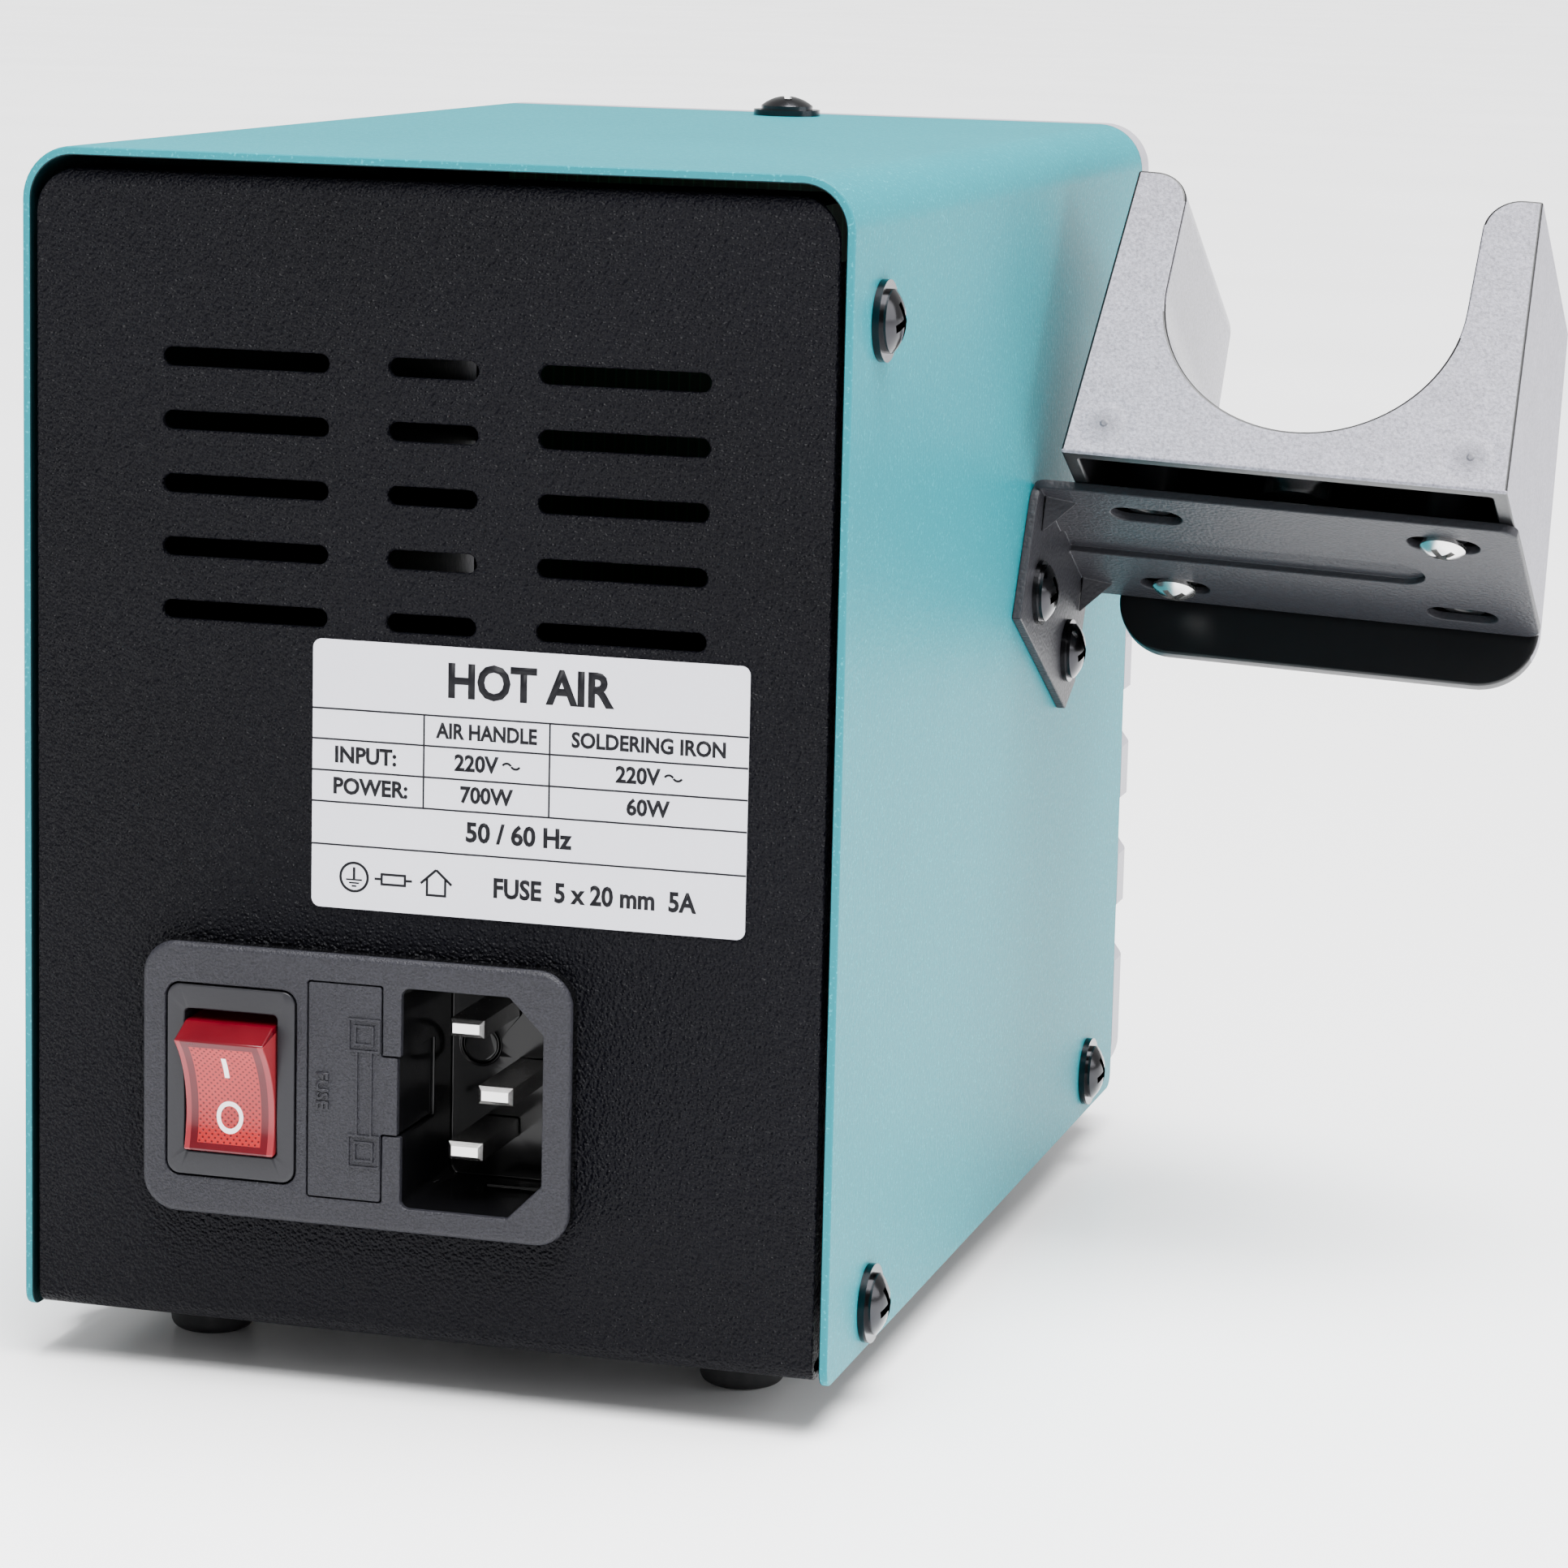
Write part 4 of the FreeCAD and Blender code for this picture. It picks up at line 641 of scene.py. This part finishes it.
def make_label_print(material):
    low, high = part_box("rating_label")
    wide, tall = (high.x - low.x) / MM, (high.z - low.z) / MM
    rules = [tall - d for d in (7.7, 11.1, 14.6, 18.1, 22.9)]
    columns = (13.0, 27.5)
    half = 0.2 / 2
    outlines = [bar_outline(0, y - half, wide, y + half) for y in rules]
    for x in columns:
        for lower, upper in ((3, 2), (2, 1), (1, 0)):
            outlines.append(bar_outline(x - half, rules[lower] + half, x + half, rules[upper] - half))
    left, right = sum(columns) / 2, (columns[1] + wide) / 2
    names_y, volts_y, watts_y, mains_y = [(a + b) / 2 for a, b in zip(rules, rules[1:])]
    words = [
        ("HOT AIR", 5.2, wide * 0.5, tall - 3.9, 0.92),
        ("AIR HANDLE", 2.35, left, names_y, 0.86),
        ("SOLDERING IRON", 2.35, right, names_y, 0.92),
        ("INPUT:", 2.5, 6.2, volts_y, 0.95),
        ("POWER:", 2.5, 6.8, watts_y, 0.95),
        ("220V", 2.5, left - 1.2, volts_y, 0.95),
        ("220V", 2.5, right - 1.2, volts_y, 0.95),
        ("700W", 2.5, left, watts_y, 0.95),
        ("60W", 2.5, right, watts_y, 0.95),
        ("50 / 60 Hz", 3.0, wide * 0.48, mains_y, 0.95),
        ("FUSE  5 x 20 mm  5A", 3.0, wide * 0.655, rules[4] - 3.6, 0.88),
    ]
    letters = [lettering(*place, weight=0.034) for place in words]
    for x in (left + 2.9, right + 2.9):
        outlines += alternating_sign(x, volts_y)
    signs_y = rules[4] - 3.5
    outlines += earth_sign(5.0, signs_y) + fuse_sign(9.6, signs_y) + indoor_sign(14.6, signs_y)
    corner = Vector((high.x, high.y, low.z))
    mesh = drawing("label_print", letters, outlines, 0.02, corner, REAR_VIEW)
    add_piece("label_print", mesh, material, "station")


# ---- fuse drawer ------------------------------------------------------------------------
def make_fuse_marks(material):
    """Raised fuse sign and the word FUSE moulded on the drawer's face."""
    low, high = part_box("fuse_drawer")
    wide, tall = (high.x - low.x) / MM, (high.z - low.z) / MM
    x, middle = wide - 3.9, tall / 2
    line, height, sunk = 0.24, 0.17, 0.004
    outlines = []
    for y in (middle + 6.6, middle - 6.6):
        for half in (1.9, 1.15):
            outlines += frame_outline(x - half, y - half, x + half, y + half, line)
    for wire in (x - 0.85, x + 0.85):
        outlines.append(bar_outline(wire - line / 2, middle - 4.7, wire + line / 2, middle + 4.7))
    word = lettering("FUSE", 2.0, 0, 0)
    word.transform(Matrix.Translation((1.65, middle, 0)) @ Matrix.Rotation(math.radians(-90), 4, "Z"))
    corner = Vector((high.x, high.y - sunk * MM, low.z))
    mesh = drawing("fuse_marks", [word], outlines, height, corner, REAR_VIEW)
    add_piece("fuse_marks", mesh, material, "fuse_drawer")


# ---- front ------------------------------------------------------------------------------
SEGMENTS = {
    "0": "abcdef", "1": "bc", "2": "abdeg", "3": "abcdg", "4": "bcfg",
    "5": "acdfg", "6": "acdefg", "7": "abc", "8": "abcdefg", "9": "abcdfg",
}


def digit_outlines(figure, x, y, wide, tall, line):
    """Seven-segment figure: lit strokes with pointed ends, slanted a little."""
    half = tall / 2
    slant = 0.1
    ends = {
        "a": (0, tall, wide, tall), "b": (wide, tall, wide, half), "c": (wide, half, wide, 0),
        "d": (0, 0, wide, 0), "e": (0, 0, 0, half), "f": (0, half, 0, tall), "g": (0, half, wide, half),
    }
    outlines = []
    for letter in SEGMENTS[figure]:
        x0, y0, x1, y1 = ends[letter]
        start, end = Vector((x0, y0)), Vector((x1, y1))
        run = (end - start).normalized()
        start, end = start + run * line * 0.65, end - run * line * 0.65
        side = Vector((-run.y, run.x)) * line / 2
        tip = run * line / 2
        points = [start - tip, start - side, end - side, end + tip, end + side, start + side]
        outlines.append([(x + p.x + p.y * slant, y + p.y) for p in points])
    return outlines


def make_digits(module, figures, material):
    """Lit figures on the window's face, in front of one display."""
    low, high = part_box(module)
    wide, tall = (high.x - low.x) / MM, (high.z - low.z) / MM
    digit_w, digit_h, pitch, line, slant_shift = 4.6, 9.0, 8.2, 1.0, 0.4
    first = wide / 2 - pitch * (len(figures) - 1) / 2 - digit_w / 2 - slant_shift
    foot = tall / 2 - digit_h / 2
    outlines = []
    for i, figure in enumerate(figures):
        outlines += digit_outlines(figure, first + i * pitch, foot, digit_w, digit_h, line)
    pane_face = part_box("display_window")[0].y
    corner = Vector((low.x, pane_face, low.z))
    name = module + "_figures"
    mesh = drawing(name, [], outlines, 0.02, corner, FRONT_VIEW)
    add_piece(name, mesh, material, "station")


def dial_tick_tree():
    """Ticks set round an arc: instances of a thin bar, turned to point outwards."""
    tree = bpy.data.node_groups.new("dial_ticks", "GeometryNodeTree")
    sockets = {}
    for name, kind in (("Count", "NodeSocketInt"), ("Radius", "NodeSocketFloat"),
                       ("Tick length", "NodeSocketFloat"), ("Tick width", "NodeSocketFloat"),
                       ("Thickness", "NodeSocketFloat"), ("Sweep", "NodeSocketFloat"),
                       ("Ink", "NodeSocketMaterial")):
        sockets[name] = tree.interface.new_socket(name, in_out="INPUT", socket_type=kind).identifier
    tree.interface.new_socket("Geometry", in_out="OUTPUT", socket_type="NodeSocketGeometry")

    def add(kind, settings, inputs):
        made = tree.nodes.new(kind)
        for key, value in settings.items():
            setattr(made, key, value)
        for key, value in inputs.items():
            if isinstance(value, bpy.types.NodeSocket):
                tree.links.new(value, made.inputs[key])
            else:
                made.inputs[key].default_value = value
        return made.outputs

    given = add("NodeGroupInput", {}, {})
    index = add("GeometryNodeInputIndex", {}, {})
    last = add("ShaderNodeMath", {"operation": "SUBTRACT"}, {0: given["Count"], 1: 1.0})
    share = add("ShaderNodeMath", {"operation": "DIVIDE"}, {0: index[0], 1: last[0]})
    centred = add("ShaderNodeMath", {"operation": "SUBTRACT"}, {0: share[0], 1: 0.5})
    angle = add("ShaderNodeMath", {"operation": "MULTIPLY"}, {0: centred[0], 1: given["Sweep"]})
    across = add("ShaderNodeMath", {"operation": "SINE"}, {0: angle[0]})
    along = add("ShaderNodeMath", {"operation": "COSINE"}, {0: angle[0]})
    x = add("ShaderNodeMath", {"operation": "MULTIPLY"}, {0: across[0], 1: given["Radius"]})
    y = add("ShaderNodeMath", {"operation": "MULTIPLY"}, {0: along[0], 1: given["Radius"]})
    place = add("ShaderNodeCombineXYZ", {}, {0: x[0], 1: y[0]})
    points = add("GeometryNodePoints", {}, {"Count": given["Count"], "Position": place[0]})
    back = add("ShaderNodeMath", {"operation": "MULTIPLY"}, {0: angle[0], 1: -1.0})
    turn = add("ShaderNodeCombineXYZ", {}, {2: back[0]})
    size = add("ShaderNodeCombineXYZ", {}, {
        0: given["Tick width"], 1: given["Tick length"], 2: given["Thickness"]})
    tick = add("GeometryNodeMeshCube", {}, {"Size": size[0]})
    set_out = add("GeometryNodeInstanceOnPoints", {}, {
        "Points": points[0], "Instance": tick[0], "Rotation": turn[0]})
    real = add("GeometryNodeRealizeInstances", {}, {"Geometry": set_out[0]})
    inked = add("GeometryNodeSetMaterial", {}, {"Geometry": real[0], "Material": given["Ink"]})
    add("NodeGroupOutput", {}, {"Geometry": inked[0]})
    return tree, sockets


def make_dial_ticks(material):
    """Eleven ticks round the airflow knob, printed on the panel."""
    tree, sockets = dial_tick_tree()
    mesh = bpy.data.meshes.new("airflow_ticks")
    source = bpy.data.objects.new("airflow_ticks_work", mesh)
    bpy.context.scene.collection.objects.link(source)
    ticks = source.modifiers.new("ticks", "NODES")
    ticks.node_group = tree
    thickness = 0.02 * MM
    values = {
        "Count": 11, "Radius": 13.6 * MM, "Tick length": 2.0 * MM, "Tick width": 0.4 * MM,
        "Thickness": thickness, "Sweep": math.radians(270), "Ink": material,
    }
    for name, value in values.items():
        ticks[sockets[name]] = value
    source.update_tag()
    mesh = plain_mesh("airflow_ticks", source)
    knob = PIVOT["airflow_knob"]
    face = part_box("front_panel")[0].y
    place = Vector((knob.x, face - thickness / 2, knob.z))
    mesh.transform(Matrix.Translation(place) @ FRONT_VIEW.to_4x4())
    add_piece("airflow_ticks", mesh, material, "station")


def make_front_legend(material):
    """Generic words, numbers and signs printed on the front panel."""
    low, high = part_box("front_panel")
    middle = (low.x + high.x) / 2

    def on_panel(point):
        return (point.x - middle) / MM, (point.z - low.z) / MM

    def middle_of(name):
        box_low, box_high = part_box(name)
        return on_panel((box_low + box_high) / 2)

    letters = []
    outlines = []
    for name, words in (("display_iron", "SOLDERING IRON"), ("display_air", "HOT AIR")):
        x, y = middle_of(name)
        letters.append(lettering(words, 2.6, x, y + 15.0))
        letters.append(lettering("°C", 2.8, x + 12.6, y - 14.6))
    for name in ("button_iron_down", "button_air_down", "button_iron_up", "button_air_up"):
        x, y = middle_of(name)
        outlines.append(bar_outline(x - 1.2, y - 7.2, x + 1.2, y - 6.8))
        if name.endswith("up"):
            outlines.append(bar_outline(x - 0.2, y - 6.8, x + 0.2, y - 5.8))
            outlines.append(bar_outline(x - 0.2, y - 8.2, x + 0.2, y - 7.2))
    for name, words in (("iron_rocker", "IRON"), ("air_rocker", "AIR")):
        x, y = on_panel(PIVOT[name])
        letters.append(lettering(words, 2.6, x, y + 13.4))
    x, y = on_panel(PIVOT["airflow_knob"])
    letters.append(lettering("AIR FLOW", 2.6, x, y - 17.0))
    letters.append(lettering("1", 2.2, x - 12.3, y - 11.6))
    letters.append(lettering("8", 2.2, x + 12.3, y - 11.6))
    corner = Vector((middle, low.y, low.z))
    mesh = drawing("front_legend", letters, outlines, 0.02, corner, FRONT_VIEW)
    add_piece("front_legend", mesh, material, "station")


# ---- dress every node -------------------------------------------------------------------
black_leather = leather_coat(
    "black_leather_coat", (0.0002, 0.0002, 0.0006), (0.0032, 0.0032, 0.0052),
    grain=0.36, depth=0.34, rough=0.30, spec=0.06)
# The bracket has the chassis's black coat, painted lighter to stand in for the light it catches.
bracket_black_painted_lighter = leather_coat(
    "bracket_black_painted_lighter", (0.013, 0.013, 0.0155), (0.026, 0.026, 0.030),
    grain=0.5, depth=0.05, rough=0.40, spec=0.12)
frame_black = moulded(
    "frame_black", (0.008, 0.008, 0.010), (0.014, 0.014, 0.017),
    rough=0.38, grain=0.4, depth=0.02, spec=0.25)
# Painted sheen: the bezel's plastic is black, and this light grey stands in for the light it catches.
bezel_painted_sheen = moulded(
    "bezel_painted_sheen", (0.25, 0.245, 0.275), (0.33, 0.32, 0.355), rough=0.42, grain=0.4, depth=0.02)
button_grey = moulded(
    "button_grey", (0.27, 0.28, 0.30), (0.34, 0.35, 0.37), rough=0.40, grain=0.3, depth=0.01)
panel_paint = moulded(
    "panel_paint", (0.006, 0.008, 0.011), (0.011, 0.014, 0.019),
    rough=0.42, grain=0.5, depth=0.015, spec=0.15)
display_body = moulded(
    "display_body", (0.05, 0.004, 0.004), (0.08, 0.008, 0.008), rough=0.2, grain=0.5, depth=0.004)
sleeve = moulded(
    "capacitor_sleeve", (0.01, 0.015, 0.06), (0.02, 0.028, 0.10), rough=0.25, grain=0.6, depth=0.01)
dark_nickel = plated("dark_nickel", (0.022, 0.022, 0.025), (0.045, 0.045, 0.048), 0.17)
bright_zinc = plated("bright_zinc", (0.62, 0.61, 0.60), (0.74, 0.73, 0.72), 0.24)
chrome = plated("chrome", (0.70, 0.70, 0.71), (0.78, 0.78, 0.79), 0.12)
brass = plated("brass", (0.66, 0.47, 0.16), (0.74, 0.56, 0.24), 0.26)
aluminium = plated("aluminium", (0.60, 0.61, 0.62), (0.70, 0.70, 0.71), 0.34)
print_ink = ink("label_ink", (0.003, 0.003, 0.004), (0.007, 0.007, 0.009), 0.45)
white_ink = ink("panel_ink", (0.62, 0.62, 0.63), (0.72, 0.72, 0.72), 0.5)

FINISH_OF_SLOT = {
    "teal_coat": teal_coat(), "black_coat": black_leather, "label_film": label_film(),
    "rubber": rubber(), "grey_plastic": bezel_painted_sheen, "panel_paint": panel_paint,
    "smoked_window": smoked_window(), "display_red": display_body, "board_green": board(),
    "black_plastic": frame_black, "button_grey": button_grey, "dark_nickel": dark_nickel,
    "bright_steel": bright_zinc, "socket_chrome": chrome, "brass_pin": brass,
    "core_steel": laminated_steel(), "winding_tape": winding_tape(), "fuse_glass": fuse_glass(),
    "heatsink_aluminium": aluminium, "magnet_nickel": chrome, "capacitor_sleeve": sleeve,
}
for node, slot in SLOT_OF.items():
    if slot in FINISH_OF_SLOT:
        dress(node, FINISH_OF_SLOT[slot])
dress("airflow_knob", knob_plastic())

# ---- rockers: a finish in each rocker's own frame, which leans as it does at rest ----------
ROCKER_LEAN = Matrix.Rotation(math.radians(13.0), 3, "X")
ROCKER_VIEW = {"power_rocker": REAR_VIEW, "iron_rocker": FRONT_VIEW, "air_rocker": FRONT_VIEW}
for name, view in ROCKER_VIEW.items():
    lens = rocker_lens(name + "_lens", PIVOT[name], view @ ROCKER_LEAN)
    softened(name, 0.22, lens, 30, segments=3)

# ---- holder ------------------------------------------------------------------------------
HOLDER_TILT = math.radians(29.0)
HOLDER_SAG = math.radians(2.5)


def holder_turn():
    """The holder's own axes as columns: away from the cover, forwards along the trough, and up."""
    outward = Vector((
        -math.cos(HOLDER_SAG), math.sin(HOLDER_SAG) * math.sin(HOLDER_TILT),
        -math.sin(HOLDER_SAG) * math.cos(HOLDER_TILT)))
    forward = Vector((0, -math.cos(HOLDER_TILT), -math.sin(HOLDER_TILT)))
    return Matrix((outward, forward, outward.cross(forward))).transposed()


HOLDER_TURN = holder_turn()
magnet_low, magnet_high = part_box("sleep_magnet")
MAGNET = (magnet_low + magnet_high) / 2
# The magnet lies under the trough's middle line: its place fixes the holder's frame.
MAGNET_IN_HOLDER = Vector((31.3, 4.0, 3.5)) * MM
HOLDER_ORIGIN = MAGNET - HOLDER_TURN @ MAGNET_IN_HOLDER

# The cradle in the holder's frame, in mm and degrees.
CRADLE_SIDES = (4.0, 58.6)
CRADLE_ENDS = (-9.5, 38.0)
CRADLE_FLOOR = 1.2
CRADLE_SIDE_LEAN = 2.8
CRADLE_END_LEAN = 6.5
CRADLE_SKIN = 0.75
CRADLE_RIM = 40.2
TROUGH_RADIUS = 18.95
TROUGH_MIDDLE = (MAGNET_IN_HOLDER.x / MM, 24.2)
# A face whose normal has no part larger than this is one of the strips that ease an edge.
SQUARE_ON = 0.955


def cradle_region(face, inverse):
    """Whether a face of the cradle is black, and whether it is on the trough's smooth wall."""
    s, a, n = (inverse @ (face.center - HOLDER_ORIGIN)) / MM
    out = inverse @ face.normal
    height = n - CRADLE_FLOOR
    side = math.tan(math.radians(CRADLE_SIDE_LEAN)) * height
    lean = math.tan(math.radians(CRADLE_END_LEAN)) * height
    off_side = min(s - (CRADLE_SIDES[0] + side), (CRADLE_SIDES[1] - side) - s)
    off_end = min(a - (CRADLE_ENDS[0] + lean), (CRADLE_ENDS[1] - lean) - a)
    radius = math.hypot(s - TROUGH_MIDDLE[0], min(0.0, height - TROUGH_MIDDLE[1]))
    in_trough = radius < TROUGH_RADIUS and off_end > 0.35 and height > 5.0
    in_hollow = min(off_side, off_end) > CRADLE_SKIN and not in_trough and height < CRADLE_RIM
    on_foot = height < 0.35 and out.z < -0.5 and off_end > 0.3
    below_floor = height < -0.3 and out.y < -0.5
    eased = max(abs(out.x), abs(out.y), abs(out.z)) < SQUARE_ON
    on_outer_edge = eased and height > 0.3 and min(off_end, abs(off_side)) < 0.4 and off_end < 0.5
    return in_hollow or on_foot or below_floor or on_outer_edge, in_trough


def mark_cradle(mesh):
    """Attributes on the cradle: inside is 1 where it is black, trough is 1 on the smooth wall."""
    inverse = HOLDER_TURN.transposed()
    inside = mesh.attributes.new("inside", "FLOAT", "CORNER")
    trough = mesh.attributes.new("trough", "FLOAT", "CORNER")
    for face in mesh.polygons:
        hidden, in_trough = cradle_region(face, inverse)
        for corner in face.loop_indices:
            inside.data[corner].value = float(hidden)
            trough.data[corner].value = float(in_trough)


cradle_finish = cradle_plastic(HOLDER_ORIGIN, HOLDER_TURN, *[side * MM for side in CRADLE_SIDES])
softened("cradle", 0.35, cradle_finish, 30, segments=3, note=mark_cradle)
softened("holder_bracket", 0.18, bracket_black_painted_lighter, 30)

# ---- eased casing and moulded parts ------------------------------------------------------
softened("cover", 0.22, FINISH_OF_SLOT["teal_coat"], 40)
softened("chassis", 0.22, black_leather, 40)
inlet_finish = inlet_plastic(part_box("fuse_drawer")[1].y)
softened("inlet_housing", 0.2, inlet_finish, 35)
softened("fuse_drawer", 0.16, inlet_finish, 35)
for name in ("power_switch_frame", "iron_switch_frame", "air_switch_frame"):
    softened(name, 0.2, frame_black, 35)
softened("front_panel", 0.12, panel_paint, 40)

make_label_print(print_ink)
make_fuse_marks(inlet_finish)
for module, figures in (("display_iron", "350"), ("display_air", "300")):
    red = lit_segments(module + "_red", (1.0, 0.025, 0.01), (0.8, 0.015, 0.006))
    make_digits(module, figures, red)
make_dial_ticks(white_ink)
make_front_legend(white_ink)


# ---- stage, light and camera -------------------------------------------------------------
def make_floor():
    mesh = bpy.data.meshes.new("floor")
    work = bmesh.new()
    reach = SIZE.length * 60
    bmesh.ops.create_circle(work, cap_ends=True, segments=96, radius=reach)
    work.to_mesh(mesh)
    work.free()
    floor = bpy.data.objects.new("floor", mesh)
    floor.location = (0, 0, -0.05 * MM)
    bpy.context.scene.collection.objects.link(floor)
    r = Recipe("pale_floor")
    soft = r.noise(r.place(), 200 * MM, 2.0)
    mesh.materials.append(r.surface({
        "Base Color": r.blend((0.90, 0.90, 0.91), (0.93, 0.93, 0.94), soft),
        "Roughness": soft * 0.05 + 0.22, "Specular IOR Level": 0.45,
    }))


def make_light(name, azimuth, elevation, distance, size, power, aim=Vector(), spread=180):
    """Soft light placed round the object, aimed at it or beside it; lengths in object sizes."""
    a, e = math.radians(azimuth), math.radians(elevation)
    back = Vector((math.sin(a) * math.cos(e), -math.cos(a) * math.cos(e), math.sin(e)))
    lamp = bpy.data.lights.new(name, "AREA")
    lamp.shape = "RECTANGLE"
    lamp.size, lamp.size_y = [side * SIZE.length for side in size]
    lamp.energy = power
    lamp.spread = math.radians(spread)
    holder = bpy.data.objects.new(name, lamp)
    holder.location = MIDDLE + back * distance * SIZE.length
    target = MIDDLE + aim * SIZE.length
    holder.rotation_euler = (target - holder.location).to_track_quat("-Z", "Y").to_euler()
    bpy.context.scene.collection.objects.link(holder)


def make_sky(azimuth, elevation, spread, strength):
    """Wide soft daylight from high up, the same for the whole floor; spread in degrees."""
    a, e = math.radians(azimuth), math.radians(elevation)
    back = Vector((math.sin(a) * math.cos(e), -math.cos(a) * math.cos(e), math.sin(e)))
    lamp = bpy.data.lights.new("sky_panel", "SUN")
    lamp.energy = strength
    lamp.angle = math.radians(spread)
    holder = bpy.data.objects.new("sky_panel", lamp)
    holder.rotation_euler = (-back).to_track_quat("-Z", "Y").to_euler()
    bpy.context.scene.collection.objects.link(holder)


def make_world():
    world = bpy.data.worlds.new("studio")
    world.use_nodes = True
    background = world.node_tree.nodes["Background"]
    background.inputs["Color"].default_value = (1.0, 1.0, 1.0, 1.0)
    background.inputs["Strength"].default_value = 0.8
    bpy.context.scene.world = world


def make_camera():
    """The camera's place is given in cover depths from the middle of the cover's foot."""
    data = bpy.data.cameras.new("camera")
    data.sensor_width = 36.0
    data.lens = 112.2
    data.shift_x = -0.0199
    data.shift_y = -0.0303
    camera = bpy.data.objects.new("camera", data)
    forward = Vector((0.2568, -0.9519, -0.1669)).normalized()
    up = Vector((0.0672, -0.1547, 0.9857))
    right = forward.cross(up).normalized()
    up = right.cross(forward)
    camera.rotation_euler = Matrix((right, up, -forward)).transposed().to_euler()
    cover_low, cover_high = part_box("cover")
    depth = cover_high.y - cover_low.y
    foot = Vector(((cover_low.x + cover_high.x) / 2, (cover_low.y + cover_high.y) / 2, 0.0))
    camera.location = foot + Vector((-1.1923, 3.8219, 1.1051)) * depth
    bpy.context.scene.collection.objects.link(camera)
    bpy.context.scene.camera = camera


make_floor()
make_sky(255, 79, 44, 14.0)
make_light("holder_side", 274, 18, 3.4, (2.4, 1.8), 5.2)
make_light("rear_floor", 180, 52, 2.6, (1.2, 0.8), 0.9, aim=Vector((0.0, 0.8, -0.25)), spread=70)
make_world()
make_camera()
